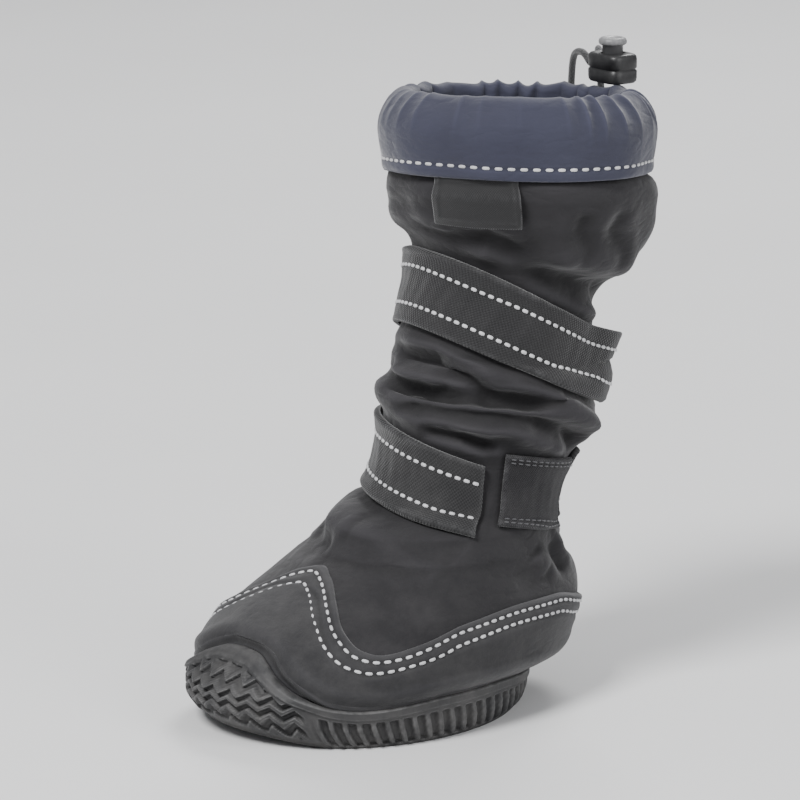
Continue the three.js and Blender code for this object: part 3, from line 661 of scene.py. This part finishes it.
def cuff_surface(radius, rise, angle, strength=1.0):
    """A point of the cuff, with its gathers and the soft waves of its flap."""
    a = np.radians(angle)
    g = gathers(angle) * (0.3 + 0.7 * smooth(55, 105, from_toe(angle - 10)))
    share = rise / cuff["height"]
    inward = np.clip((33.5 - radius) / 7.5, 0, 1)
    top = smooth(0.45, 0.95, share)
    radial = (0.25 + 1.15 * top * (1 - 0.45 * inward)) * g * smooth(0.22, 0.7, share)
    lift = (0.85 * inward * top) * g
    waves = 0.45 * np.sin(4 * a + 0.7) + 0.35 * np.sin(7 * a + 2.2) + 0.22 * np.sin(11 * a + 0.3)
    sag = 0.35 * np.sin(3 * a + 1.1) * (1 - share)
    flap = smooth(31.5, 33.8, radius)
    r = radius + strength * (radial + waves * (1 - 0.6 * share) * flap)
    z = rise + strength * (lift + sag * flap)
    return on_cuff(r, cuff["hem"] + z, a)


def cuff_outside(rise):
    """Radius of the flap's outer face at a rise, with the shallow step of the hem's stitched fold."""
    radii = np.interp(rise, [p[1] for p in CUFF_PROFILE[:9]], [p[0] for p in CUFF_PROFILE[:9]])
    return radii - 0.25 * bump(rise - CUFF_STITCH, 0.5)


def make_cuff():
    columns = 420
    angle = spaced(columns)
    outline = through([(r, 0, z) for r, z in CUFF_PROFILE], 92)
    rings = []
    for r, _, z in outline:
        r = r - 0.28 * bump(z - CUFF_STITCH, 0.5) * (r > 33)
        rings.append(cuff_surface(r, z, angle))
    rings += [cuff_surface(r, z, angle, strength=0.0) for r, z in CUFF_HIDDEN]
    piece = mesh_piece("cuff_padded", rings, grid_faces(len(rings), columns, closed=True))
    ride_shoe(piece, "navy_cloth", "cuff")
    fine = np.linspace(0, 360, 900)
    line = cuff_surface(cuff_outside(CUFF_STITCH), CUFF_STITCH, fine)
    out = np.stack([np.sin(np.radians(fine)), -np.cos(np.radians(fine)), 0 * fine], -1)
    thread = stitches("cuff_stitches", [(line, out)], length=1.9, pitch=3.1)
    ride_shoe(thread, "webbing")
    return piece


# Woven label that hangs from under the cuff, left bare
def make_label():
    half, drop, middle = label_tab["width"] / 2, label_tab["drop"], label_tab["angle"]
    across = np.linspace(-1, 1, 61)
    angle = middle + across * math.degrees(half / shaft["collar"])
    hem = on_cuff(shaft["collar"], cuff["hem"], math.radians(middle))[2]
    rows = np.linspace(0, 1, 40)

    def sheet(offset):
        out = []
        for t in rows:
            level = level_at(hem + 1.2 - drop * t + 0.25 * math.sin(5 * t), angle)
            curl = 0.5 * t ** 3 * (1 + 0.4 * across)
            from_edge = np.minimum((1 - np.abs(across)) * half, drop * (1 - t))
            border = 0.22 * bump(from_edge - 1.3, 0.55)
            away = offset + curl + border
            out.append(skin(level, angle) + normal_of_skin(level, angle) * away[:, None])
        return out

    face, back = sheet(2 * label_tab["thickness"]), sheet(label_tab["thickness"])
    columns = 2 * len(angle)
    loops = [np.vstack([f, b[::-1]]) for f, b in zip(face, back)]
    faces = [quad[::-1] for quad in capped_faces(len(loops), columns)]
    piece = mesh_piece("label_woven", loops, faces)
    both = np.concatenate([across, across[::-1]]) * half
    set_coordinates(piece, np.tile(both, len(loops)), np.repeat(rows * 12, columns))
    return ride_shoe(piece, "webbing", "label_tab")


# Rubber cup sole: zigzag tread, slanted ribs under a smooth rim, and a toe bumper with its own zigzag
TOE_RADIUS = 40
RIM_SHARE = 0.955


def triangle_wave(x):
    return 2 * np.abs(2 * (x - np.floor(x + 0.5))) - 1


def wall_relief(angle, height):
    """Depth of the side ribs and of the toe's zigzag, in millimetres under the smooth rubber."""
    a = from_toe(angle)
    share = height / rim_height(angle)
    over_rim = height - rim_height(angle)
    around = np.radians(signed(angle)) * TOE_RADIUS
    turns = np.mod(angle, 360) / 360 * ribs["count"] + height * ribs["slant"] * np.sign(signed(angle))
    rib = smooth(0.15, 0.7, 0.5 + 0.5 * np.sin(2 * np.pi * turns))
    side = smooth(42, 47, a) * smooth(0.06, 0.12, share) * (1 - smooth(0.64, 0.72, share))
    zigzag = (height + bumper["wave"] * triangle_wave(around / bumper["pitch"])) / bumper["rise"]
    cut = smooth(0.42, 0.66, 0.5 + 0.5 * np.cos(2 * np.pi * zigzag))
    toe = (1 - smooth(37, 41, a)) * smooth(0.1, 0.16, share) * (1 - smooth(-3.4, -2.8, over_rim))
    lip = bumper["lip"] * smooth(-2.6, -2.1, over_rim) * (1 - 0.4 * smooth(40, 60, a))
    return ribs["depth"] * rib * side + bumper["depth"] * cut * toe - lip


def wall_ring(height, angle, inset, sprung_y=None):
    """A ring of the cup's wall, lifted with the sole's spring at toe and heel."""
    x, y = rubber_xy(height, angle, inset)
    lift = spring(y if sprung_y is None else sprung_y) * settle(height)
    return np.stack([x, y, height + lift], -1)


def make_outsole():
    columns = 756
    angle = spaced(columns)
    rim = rim_height(angle)
    rings = []
    # the tread from its middle out, the ribbed wall, the rounded rim, the cup's inside and its floor
    pitch = sole["groove_pitch"]
    edge_x, edge_y = rubber_xy(np.zeros(columns), angle)
    for share in np.linspace(0.04, 1, 30):
        x, y = edge_x * share, edge_y * share
        zigzag = sole["wave"] * triangle_wave(x / (2 * sole["zigzag"]))
        line = np.abs(np.mod(y + zigzag - (2 - sole["flat_front"]) + pitch / 2, pitch) - pitch / 2)
        groove = sole["groove"] * (1 - smooth(0.8, 1.3, line)) * (1 - smooth(0.93, 0.99, share))
        rings.append(np.stack([x, y, spring(y) + groove], -1))
    for share in np.concatenate([np.linspace(0.02, 0.1, 4), np.linspace(0.12, 0.94, 44)]):
        height = rim * share
        smooth_y = rubber_xy(height, angle)[1]
        rings.append(wall_ring(height, angle, wall_relief(angle, height), smooth_y))
    for t in np.linspace(0, 1, 7):
        lean = math.pi * t
        inset = sole["rubber"] / 2 * (1 - math.cos(lean))
        height = rim * (RIM_SHARE + (1 - RIM_SHARE) * math.sin(lean))
        relief = wall_relief(angle, rim) * math.cos(lean / 2) ** 2
        rings.append(wall_ring(height, angle, inset + relief))
    for share in (0.8, 0.5, 0.2, 0.0):
        rings.append(wall_ring(mix(sole["base"], rim * RIM_SHARE, share), angle, sole["rubber"]))
    x, y = rubber_xy(np.full(columns, float(sole["base"])), angle, sole["rubber"])
    for share in (0.7, 0.35, 0.05):
        rings.append(np.stack([x * share, y * share, sole["base"] + spring(y * share)], -1))
    piece = mesh_piece("sole_rubber", rings, capped_faces(len(rings), columns))
    return ride_shoe(piece, "rubber", "outsole")


# The footbed's outline, as a share of its width and a height
FOOTBED_OUTLINE = [(.5, 0), (.97, 0), (1, .5), (1, 2.4), (.985, 2.8), (.95, 3), (.8, 2.9), (.6, 2.7),
                   (.3, 2.6), (.05, 2.6)]


def make_insole():
    columns = 120
    angle = spaced(columns)
    x, y = rubber_xy(np.full(columns, float(sole["base"])), angle, sole["rubber"] + shaft["wall"] + 4 * FIT)
    rings = []
    for share, height in FOOTBED_OUTLINE:
        px, py = x * share, y * share
        rings.append(np.stack([px, py, sole["base"] + FIT + height + spring(py)], -1))
    return ride_shoe(mesh_piece("footbed", rings, capped_faces(len(rings), columns)), "foam", "insole")


# Cord lock: rounded barrel with a well and a ridged button, on top of the gathers at the back
lock_low, lock_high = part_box("cord_lock_barrel")
lock_middle = np.array([(lock_low.x + lock_high.x) / 2, (lock_low.y + lock_high.y) / 2, lock_low.z]) / MM

# The case as inset and height, its well as radius and height, and the button as radius, height and grip
CASE_HALF = (6, 4.5)
CORD_EXIT = (-6.9, 0, 0)
CASE_OUTLINE = [(3.4, 0), (1.2, 0), (.5, .15), (.12, .6), (0, 1.4), (0, 3.2), (.28, 3.45), (.28, 3.75),
                (0, 4.0), (0, 6.1), (.12, 6.9), (.5, 7.35), (1.0, 7.5)]
WELL_OUTLINE = [(3.25, 7.5), (3.0, 7.3), (3.0, 1.6), (0.4, 1.6)]
PUSH_OUTLINE = [(.3, 3.7, 0), (2.4, 3.7, 0), (2.65, 3.95, 0), (2.65, 9.5, 0), (3.2, 9.6, 0),
                (3.45, 9.9, 1), (3.5, 10.4, 1), (3.4, 10.9, 1), (3.0, 11.3, 0), (2.3, 11.4, 0),
                (2.0, 11.25, 0), (.3, 11.2, 0)]
BELL_OUTLINE = [(.3, -12), (1.5, -12), (1.95, -11.8), (2.2, -11.2), (2.15, -9), (2.0, -6), (1.85, -3.4),
                (1.95, -3.1), (1.9, -2.8), (1.5, -1.4), (1.2, -.35), (1.0, 0), (.3, 0)]


def rounded_ring(half_x, half_y, z, turn, power=4.2):
    c, s = np.cos(turn), np.sin(turn)
    r = (np.abs(c / half_x) ** power + np.abs(s / half_y) ** power) ** (-1 / power)
    return circle(r, z, turn)


def make_lock():
    columns = 64
    turn = spaced(columns, 2 * np.pi)
    rings = [rounded_ring(CASE_HALF[0] - inset, CASE_HALF[1] - inset, z, turn) for inset, z in CASE_OUTLINE]
    rings += [circle(radius, z, turn) for radius, z in WELL_OUTLINE]
    piece = mesh_piece("cord_lock_case", [r + lock_middle for r in rings], capped_faces(len(rings), columns))
    ride_shoe(piece, "black_plastic", "cord_lock_barrel")
    grip = 1 + 0.03 * np.cos(16 * turn)
    rings = [circle(radius * (grip if ridged else 1), z, turn) for radius, z, ridged in PUSH_OUTLINE]
    button = mesh_piece("cord_lock_push", [r + lock_middle for r in rings], capped_faces(len(rings), columns))
    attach(button, "lock_button")
    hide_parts("cord_lock_button")
    return piece, button


# Free ends of the drawcord, from the lock's side down to their tips
CORD_RADIUS = 0.9
CORD_ROUTES = [
    [(0, -1.6, 4.2), (-5.1, 0, 6), (-12.1, 3, 4), (-18.1, 7, -4), (-21.1, 9.5, -15), (-22.1, 10.5, -25)],
    [(0, 1.8, 4.2), (-4.1, 4.5, 6.5), (-9.1, 8.5, 4), (-12.1, 12, -6), (-12.6, 13, -19), (-12.1, 13, -32)],
]


def make_cords():
    made = []
    for i, route in enumerate(CORD_ROUTES, 1):
        start = lock_middle + np.array(CORD_EXIT)
        path = through([start + np.array(p) for p in route], 40)
        piece = tube("drawcord_%d" % i, path, CORD_RADIUS, 14)
        ride_shoe(piece, "cord", "drawcord_end_%d" % i)
        end = path[-1] - np.array([0, 0, FIT])
        turn = spaced(32, 2 * np.pi)
        rings = [circle(radius, z, turn) + end for radius, z in BELL_OUTLINE]
        tip = mesh_piece("cord_bell_%d" % i, rings, capped_faces(len(rings), len(turn)))
        ride_shoe(tip, "black_plastic", "cord_tip_%d" % i)
        made.append((piece, tip))
    return made


cords = make_cords()
upper = make_upper()
guard = make_guard()
cuff_piece = make_cuff()
label = make_label()
webbing_names = ("upper_strap", "upper_strap_back", "lower_strap", "lower_strap_back")
straps = [make_strap(name, "webbing", 1.5, (-0.25, 0.25)) for name in webbing_names]
patch = make_strap("lower_strap_patch", "loop_pile", 1.1, (-0.455, -0.4, 0.4, 0.455), length=1.3, pitch=1.9,
                   thread=0.4)
outsole = make_outsole()
footbed = make_insole()
lock_case, lock_push = make_lock()


# Materials
def put(tree, kind, **settings):
    node = tree.nodes.new(kind)
    for key, value in settings.items():
        setattr(node, key, value)
    return node


def join(tree, source, target):
    """Link a socket, or set a plain number or colour, on another node's input."""
    if hasattr(source, "links"):
        tree.links.new(source, target)
    else:
        target.default_value = source


def maths(tree, operation, a, b=None, clamp=False):
    node = put(tree, "ShaderNodeMath", operation=operation, use_clamp=clamp)
    join(tree, a, node.inputs[0])
    if b is not None:
        join(tree, b, node.inputs[1])
    return node.outputs[0]


def times(tree, a, b, clamp=False):
    return maths(tree, "MULTIPLY", a, b, clamp)


def blend_colours(tree, share, a, b):
    node = put(tree, "ShaderNodeMix", data_type="RGBA")
    join(tree, share, node.inputs["Factor"])
    for value, socket in ((a, node.inputs[6]), (b, node.inputs[7])):
        join(tree, value, socket)
    return node.outputs[2]


def spread(tree, value, low, high, to_low=0.0, to_high=1.0):
    node = put(tree, "ShaderNodeMapRange", clamp=True)
    for socket, number in zip(node.inputs[1:5], (low, high, to_low, to_high)):
        join(tree, number, socket)
    join(tree, value, node.inputs[0])
    return node.outputs[0]


def noise(tree, place, scale, detail=3.0, rough=0.55):
    node = put(tree, "ShaderNodeTexNoise")
    join(tree, place, node.inputs["Vector"])
    join(tree, scale, node.inputs["Scale"])
    node.inputs["Detail"].default_value = detail
    node.inputs["Roughness"].default_value = rough
    return node.outputs["Fac"]


def new_group(name, inputs, outputs):
    group = bpy.data.node_groups.new(name, "ShaderNodeTree")
    kinds = {"value": "NodeSocketFloat", "colour": "NodeSocketColor", "place": "NodeSocketVector"}
    for label_text, kind, default in inputs:
        socket = group.interface.new_socket(name=label_text, in_out="INPUT", socket_type=kinds[kind])
        if default is not None:
            socket.default_value = default
    for label_text, kind in outputs:
        group.interface.new_socket(name=label_text, in_out="OUTPUT", socket_type=kinds[kind])
    return group, group.nodes.new("NodeGroupInput"), group.nodes.new("NodeGroupOutput")


def woven_threads():
    """Plain weave seen along and across a band: thread crowns, and darker gaps between them."""
    tree, given, out = new_group(
        "woven threads",
        [("Cloth place", "place", None), ("Along pitch", "value", 0.8), ("Across pitch", "value", 0.9),
         ("Unevenness", "value", 0.25)],
        [("Crown", "value"), ("Gap", "value")])
    parts = put(tree, "ShaderNodeSeparateXYZ")
    join(tree, given.outputs["Cloth place"], parts.inputs[0])
    uneven = times(tree, noise(tree, given.outputs["Cloth place"], 0.9), given.outputs["Unevenness"])
    waves = []
    for axis, pitch in ((0, "Along pitch"), (1, "Across pitch")):
        turns = maths(tree, "DIVIDE", parts.outputs[axis], given.outputs[pitch])
        waves.append(maths(tree, "SINE", times(tree, maths(tree, "ADD", turns, uneven), 2 * math.pi)))
    both = times(tree, waves[0], waves[1])
    crown = spread(tree, both, -1.0, 1.0)
    join(tree, crown, out.inputs["Crown"])
    join(tree, spread(tree, maths(tree, "ABSOLUTE", both), 0.0, 0.35, 1.0, 0.0), out.inputs["Gap"])
    return tree


def cloth_nap():
    """Fine irregular fibres and small slack creases of a soft cloth."""
    tree, given, out = new_group(
        "cloth nap",
        [("Place", "place", None), ("Fibre scale", "value", 1500.0), ("Crease scale", "value", 110.0)],
        [("Fibre", "value"), ("Crease", "value"), ("Mottle", "value")])
    fibre = noise(tree, given.outputs["Place"], given.outputs["Fibre scale"], 4.0, 0.7)
    join(tree, fibre, out.inputs["Fibre"])
    stretch = put(tree, "ShaderNodeMapping")
    stretch.inputs["Scale"].default_value = (1.0, 1.0, 2.3)
    join(tree, given.outputs["Place"], stretch.inputs["Vector"])
    crease = noise(tree, stretch.outputs[0], given.outputs["Crease scale"], 2.5, 0.5)
    ridge = maths(tree, "ABSOLUTE", maths(tree, "SUBTRACT", crease, 0.5))
    join(tree, spread(tree, ridge, 0.0, 0.16), out.inputs["Crease"])
    join(tree, noise(tree, given.outputs["Place"], 46.0, 4.0, 0.6), out.inputs["Mottle"])
    return tree


def settled_dust():
    """Pale dust: more of it low on the boot and where the surface faces up."""
    tree, given, out = new_group(
        "settled dust",
        [("Clean colour", "colour", (0, 0, 0, 1)), ("Dust colour", "colour", (.2, .19, .18, 1)),
         ("Amount", "value", 0.3), ("Height", "value", 0.05)],
        [("Colour", "colour"), ("Dust", "value")])
    geometry = put(tree, "ShaderNodeNewGeometry")
    place = put(tree, "ShaderNodeSeparateXYZ")
    join(tree, geometry.outputs["Position"], place.inputs[0])
    facing = put(tree, "ShaderNodeSeparateXYZ")
    join(tree, geometry.outputs["Normal"], facing.inputs[0])
    climb = maths(tree, "DIVIDE", place.outputs[2], given.outputs["Height"])
    low = maths(tree, "SUBTRACT", 1.0, climb, clamp=True)
    up = spread(tree, facing.outputs[2], 0.1, 1.0, 0.0, 0.5)
    patchy = spread(tree, noise(tree, geometry.outputs["Position"], 90.0, 6.0, 0.7), 0.38, 0.72)
    settled = times(tree, maths(tree, "ADD", low, up), patchy)
    dust = times(tree, settled, given.outputs["Amount"], clamp=True)
    colour = blend_colours(tree, dust, given.outputs["Clean colour"], given.outputs["Dust colour"])
    join(tree, colour, out.inputs["Colour"])
    join(tree, dust, out.inputs["Dust"])
    return tree


def worn_edges_and_highlight():
    """Rubbed high edges, broken up so that they do not run as an even line; on the rubber they also serve as
    a painted highlight along its rims.
    """
    tree, given, out = new_group(
        "worn edges and painted highlight",
        [("Fresh colour", "colour", (0, 0, 0, 1)), ("Rubbed colour", "colour", (.2, .2, .2, 1)),
         ("Amount", "value", 0.5)],
        [("Colour", "colour"), ("Wear and highlight", "value")])
    geometry = put(tree, "ShaderNodeNewGeometry")
    high = spread(tree, geometry.outputs["Pointiness"], 0.505, 0.56)
    broken = spread(tree, noise(tree, geometry.outputs["Position"], 380.0, 5.0, 0.65), 0.35, 0.65)
    wear_and_highlight = times(tree, times(tree, high, broken), given.outputs["Amount"], clamp=True)
    colour = blend_colours(tree, wear_and_highlight, given.outputs["Fresh colour"], given.outputs["Rubbed colour"])
    join(tree, colour, out.inputs["Colour"])
    join(tree, wear_and_highlight, out.inputs["Wear and highlight"])
    return tree


def moulded_grain():
    """Matt grain of moulded rubber or plastic."""
    tree, given, out = new_group(
        "moulded grain",
        [("Place", "place", None), ("Grain scale", "value", 1400.0)],
        [("Grain", "value"), ("Mottle", "value")])
    cells = put(tree, "ShaderNodeTexVoronoi", feature="SMOOTH_F1")
    join(tree, given.outputs["Place"], cells.inputs["Vector"])
    join(tree, given.outputs["Grain scale"], cells.inputs["Scale"])
    join(tree, cells.outputs["Distance"], out.inputs["Grain"])
    join(tree, noise(tree, given.outputs["Place"], 70.0, 5.0, 0.65), out.inputs["Mottle"])
    return tree


def painted_fold_shade_and_highlight():
    """Painted shade in the fold troughs, and a painted highlight along the fold ridges, from the surface's
    curvature.
    """
    tree, given, out = new_group(
        "painted fold shade and highlight",
        [("Flat colour", "colour", (0, 0, 0, 1)), ("Trough colour", "colour", (0, 0, 0, 1)),
         ("Ridge colour", "colour", (.06, .06, .06, 1)), ("Amount", "value", 0.5)],
        [("Colour", "colour")])
    curve = put(tree, "ShaderNodeNewGeometry").outputs["Pointiness"]
    # hollow places take the painted trough shade, ridged places the painted highlight
    trough = times(tree, spread(tree, curve, 0.465, 0.498, 1.0, 0.0), given.outputs["Amount"])
    ridge = times(tree, spread(tree, curve, 0.502, 0.54), given.outputs["Amount"])
    deep = blend_colours(tree, trough, given.outputs["Flat colour"], given.outputs["Trough colour"])
    join(tree, blend_colours(tree, ridge, deep, given.outputs["Ridge colour"]), out.inputs["Colour"])
    return tree


WEAVE, NAP, DUST, WEAR_AND_HIGHLIGHT, GRAIN = woven_threads(), cloth_nap(), settled_dust(), worn_edges_and_highlight(), moulded_grain()
FOLD_SHADE_PAINT = painted_fold_shade_and_highlight()


def place_group(tree, group, **values):
    node = put(tree, "ShaderNodeGroup", node_tree=group)
    for key, value in values.items():
        join(tree, value, node.inputs[key.replace("_", " ")])
    return node


def new_material(name, constants):
    material = bpy.data.materials.new(name)
    material.use_nodes = True
    tree = material.node_tree
    shader = tree.nodes["Principled BSDF"]
    for key, value in constants.items():
        shader.inputs[key].default_value = value
    place = put(tree, "ShaderNodeTexCoord").outputs["Object"]
    return material, tree, shader, place


def bumps(tree, shader, heights):
    """Chain of bump nodes: (height socket, distance in millimetres, strength)."""
    last = None
    for height, depth, strength in heights:
        node = put(tree, "ShaderNodeBump")
        node.inputs["Distance"].default_value = depth * MM
        node.inputs["Strength"].default_value = strength
        join(tree, height, node.inputs["Height"])
        if last:
            tree.links.new(last, node.inputs["Normal"])
        last = node.outputs[0]
    tree.links.new(last, shader.inputs["Normal"])


def scaled(colour, share):
    return tuple(channel * share for channel in colour[:3]) + (1,)


def set_roughness(tree, shader, grain, smoothest, roughest):
    join(tree, spread(tree, grain, 0.3, 0.7, smoothest, roughest), shader.inputs["Roughness"])


def cloth_material(name, dark, light, roughness, sheen, dust, crease=0.3, fibre=0.10, painted_fold_shading=0.7):
    constants = {"Sheen Weight": sheen, "Sheen Roughness": 0.45, "Specular IOR Level": 0.25}
    material, tree, shader, place = new_material(name, constants)
    nap = place_group(tree, NAP, Place=place, Fibre_scale=1700.0, Crease_scale=105.0)
    tone = maths(tree, "ADD", times(tree, nap.outputs["Mottle"], 0.6), times(tree, nap.outputs["Fibre"], 0.4))
    colour = blend_colours(tree, spread(tree, tone, 0.3, 0.7), dark, light)
    # painted shade in the fold troughs (dark tone x 0.35) and a painted highlight on the fold ridges (light
    # tone x 1.9)
    folded = place_group(tree, FOLD_SHADE_PAINT, Flat_colour=colour, Trough_colour=scaled(dark, 0.35),
                         Ridge_colour=scaled(light, 1.9), Amount=painted_fold_shading)
    dusty = place_group(tree, DUST, Clean_colour=folded.outputs["Colour"], Dust_colour=(.16, .155, .15, 1),
                        Amount=dust, Height=0.05)
    join(tree, dusty.outputs["Colour"], shader.inputs["Base Color"])
    set_roughness(tree, shader, nap.outputs["Fibre"], roughness - 0.06, roughness + 0.06)
    bumps(tree, shader, [(nap.outputs["Crease"], crease, 0.5), (nap.outputs["Fibre"], fibre, 0.6)])
    return material


def webbing_material(name, gap, thread, along, across, deep, sheen=0.25):
    constants = {"Sheen Weight": sheen, "Sheen Roughness": 0.5, "Specular IOR Level": 0.3}
    material, tree, shader, place = new_material(name, constants)
    attribute = put(tree, "ShaderNodeAttribute", attribute_type="GEOMETRY", attribute_name="cloth_mm")
    lay = attribute.outputs["Vector"]
    weave = place_group(tree, WEAVE, Cloth_place=lay, Along_pitch=along, Across_pitch=across, Unevenness=0.22)
    nap = place_group(tree, NAP, Place=place, Fibre_scale=1500.0, Crease_scale=80.0)
    colour = blend_colours(tree, weave.outputs["Crown"], gap, thread)
    mottled = blend_colours(tree, spread(tree, nap.outputs["Mottle"], 0.35, 0.7, 0.0, 0.45), colour, thread)
    worn = place_group(tree, WEAR_AND_HIGHLIGHT, Fresh_colour=mottled, Rubbed_colour=(.14, .14, .145, 1), Amount=0.35)
    dusty = place_group(tree, DUST, Clean_colour=worn.outputs["Colour"], Dust_colour=(.2, .195, .19, 1),
                        Amount=0.12, Height=0.12)
    join(tree, dusty.outputs["Colour"], shader.inputs["Base Color"])
    join(tree, spread(tree, weave.outputs["Crown"], 0.0, 1.0, 0.9, 0.68), shader.inputs["Roughness"])
    bumps(tree, shader, [(nap.outputs["Crease"], 0.25, 0.3), (weave.outputs["Crown"], deep, 0.8),
                         (nap.outputs["Fibre"], 0.06, 0.5)])
    return material


def rubber_material(name, fresh, mottle, worn, roughness, grain_depth, wear_and_highlight, dust):
    material, tree, shader, place = new_material(name, {"Specular IOR Level": 0.4})
    grain = place_group(tree, GRAIN, Place=place, Grain_scale=1500.0)
    colour = blend_colours(tree, spread(tree, grain.outputs["Mottle"], 0.35, 0.68), fresh, mottle)
    # lighter high edges: partly rubbed rubber, partly a painted highlight along the rims
    rubbed = place_group(tree, WEAR_AND_HIGHLIGHT, Fresh_colour=colour, Rubbed_colour=worn, Amount=wear_and_highlight)
    dusty = place_group(tree, DUST, Clean_colour=rubbed.outputs["Colour"], Dust_colour=(.24, .23, .22, 1),
                        Amount=dust, Height=0.03)
    join(tree, dusty.outputs["Colour"], shader.inputs["Base Color"])
    clean = spread(tree, grain.outputs["Mottle"], 0.3, 0.7, roughness - 0.05, roughness + 0.06)
    rough = maths(tree, "ADD", clean, times(tree, dusty.outputs["Dust"], 0.25), clamp=True)
    join(tree, rough, shader.inputs["Roughness"])
    bumps(tree, shader, [(grain.outputs["Mottle"], 0.12, 0.3), (grain.outputs["Grain"], grain_depth, 0.5)])
    return material


black_cloth = cloth_material("black softshell", (.0140, .0133, .0148, 1), (.0185, .0177, .0197, 1),
                             0.78, 0.2, dust=0.12)
guard_cloth = cloth_material("guard fabric", (.0192, .0189, .0203, 1), (.0236, .0233, .0251, 1),
                             0.82, 0.2, crease=0.16, fibre=0.14, dust=0.2)
# weaker painted fold shade and highlight on the navy cuff
navy_cloth = cloth_material("navy padded cloth", (.027, .028, .046, 1), (.038, .040, .064, 1),
                            0.8, 0.3, dust=0.05, painted_fold_shading=0.3)
webbing = webbing_material("strap webbing", (.0058, .0058, .0063, 1), (.0180, .0178, .0190, 1),
                           1.1, 1.0, 0.22)
label_weave = webbing_material("label weave", (.0062, .0062, .0067, 1), (.0160, .0160, .0170, 1),
                               0.55, 0.5, 0.08)
loop_pile = webbing_material("loop pile", (.004, .004, .005, 1), (.013, .012, .015, 1),
                             0.7, 0.8, 0.28, sheen=0.12)
braid = webbing_material("braided drawcord", (.012, .012, .013, 1), (.04, .04, .042, 1), 1.4, 0.9, 0.12)
# pale edge colour (.14) at 0.8: rubbed rubber and a painted highlight along the sole's rims
sole_rubber = rubber_material("moulded rubber", (.019, .019, .020, 1), (.027, .027, .0285, 1),
                              (.14, .14, .14, 1), 0.58, 0.08, 0.8, 0.25)
foam = rubber_material("footbed foam", (.03, .03, .032, 1), (.045, .045, .047, 1),
                       (.07, .07, .07, 1), 0.9, 0.15, 0.1, 0.1)
case_plastic = rubber_material("lock plastic", (.012, .012, .013, 1), (.02, .02, .021, 1),
                               (.09, .09, .09, 1), 0.42, 0.03, 0.35, 0.05)
push_plastic = rubber_material("push plastic", (.17, .17, .175, 1), (.21, .21, .215, 1),
                               (.32, .32, .32, 1), 0.4, 0.03, 0.3, 0.05)


def thread_material(name, dark, light):
    material, tree, shader, place = new_material(name, {"Sheen Weight": 0.2, "Specular IOR Level": 0.6})
    nap = place_group(tree, NAP, Place=place, Fibre_scale=2600.0, Crease_scale=260.0)
    colour = blend_colours(tree, spread(tree, nap.outputs["Mottle"], 0.3, 0.7), dark, light)
    join(tree, colour, shader.inputs["Base Color"])
    set_roughness(tree, shader, nap.outputs["Fibre"], 0.35, 0.55)
    bumps(tree, shader, [(nap.outputs["Fibre"], 0.08, 0.7)])
    return material


thread = thread_material("reflective thread", (.44, .44, .45, 1), (.64, .64, .65, 1))
dull_thread = thread_material("dull thread", (.05, .05, .055, 1), (.10, .10, .105, 1))


def give(material, *pieces):
    for piece in pieces:
        piece.data.materials.clear()
        piece.data.materials.append(material)


give(black_cloth, upper)
give(guard_cloth, guard)
give(navy_cloth, cuff_piece)
give(webbing, *straps)
give(label_weave, label)
give(loop_pile, patch)
give(sole_rubber, outsole)
give(foam, footbed)
give(case_plastic, lock_case, *[tip for _, tip in cords])
give(push_plastic, lock_push)
give(braid, *[piece for piece, _ in cords])
give(thread, *[o for o in bpy.data.objects if o.name.endswith("_stitches")])
give(dull_thread, bpy.data.objects["lower_strap_patch_stitches"])


# Floor, backdrop and soft studio light
def make_floor():
    x = [-3, 3]
    rows = [(-3.0, 0.0), (1.6, 0.0)]
    for t in np.linspace(0, math.pi / 2, 13):
        rows.append((1.6 + 0.8 * math.sin(t), 0.8 * (1 - math.cos(t))))
    rows.append((2.4, 3.0))
    c, s = math.cos(photo_angle), math.sin(photo_angle)
    points = [((px * c - y * s) / MM, (px * s + y * c) / MM, z / MM) for y, z in rows for px in x]
    faces = [[2 * i, 2 * i + 1, 2 * i + 3, 2 * i + 2] for i in range(len(rows) - 1)]
    floor = mesh_piece("studio_floor", points, faces)
    material, tree, shader, place = new_material("pale floor", {"Specular IOR Level": 0.2})
    speck = noise(tree, place, 9.0, 3.0, 0.5)
    colour = blend_colours(tree, speck, (.72, .72, .72, 1), (.76, .76, .76, 1))
    join(tree, colour, shader.inputs["Base Color"])
    join(tree, spread(tree, speck, 0.0, 1.0, 0.75, 0.85), shader.inputs["Roughness"])
    give(material, floor)
    return floor


def make_light(name, place, size, power):
    data = bpy.data.lights.new(name, "AREA")
    data.shape = "DISK"
    data.size = size
    data.energy = power
    light = bpy.data.objects.new(name, data)
    bpy.context.scene.collection.objects.link(light)
    light.location = place
    light.rotation_mode = "QUATERNION"
    light.rotation_quaternion = (Vector((0, 0.01, 0.08)) - Vector(place)).to_track_quat("-Z", "Y")
    return light


make_floor()
make_light("key", (0.25, -0.95, 1.25), 0.55, 30)
make_light("fill", (1.2, 0.35, 0.7), 0.9, 8)
make_light("back", (-0.7, 0.9, 1.1), 0.6, 14)
world = bpy.data.worlds.new("studio")
world.use_nodes = True
sky = world.node_tree.nodes["Background"]
sky.inputs["Color"].default_value = (0.95, 0.96, 1.0, 1)
sky.inputs["Strength"].default_value = 0.42
bpy.context.scene.world = world
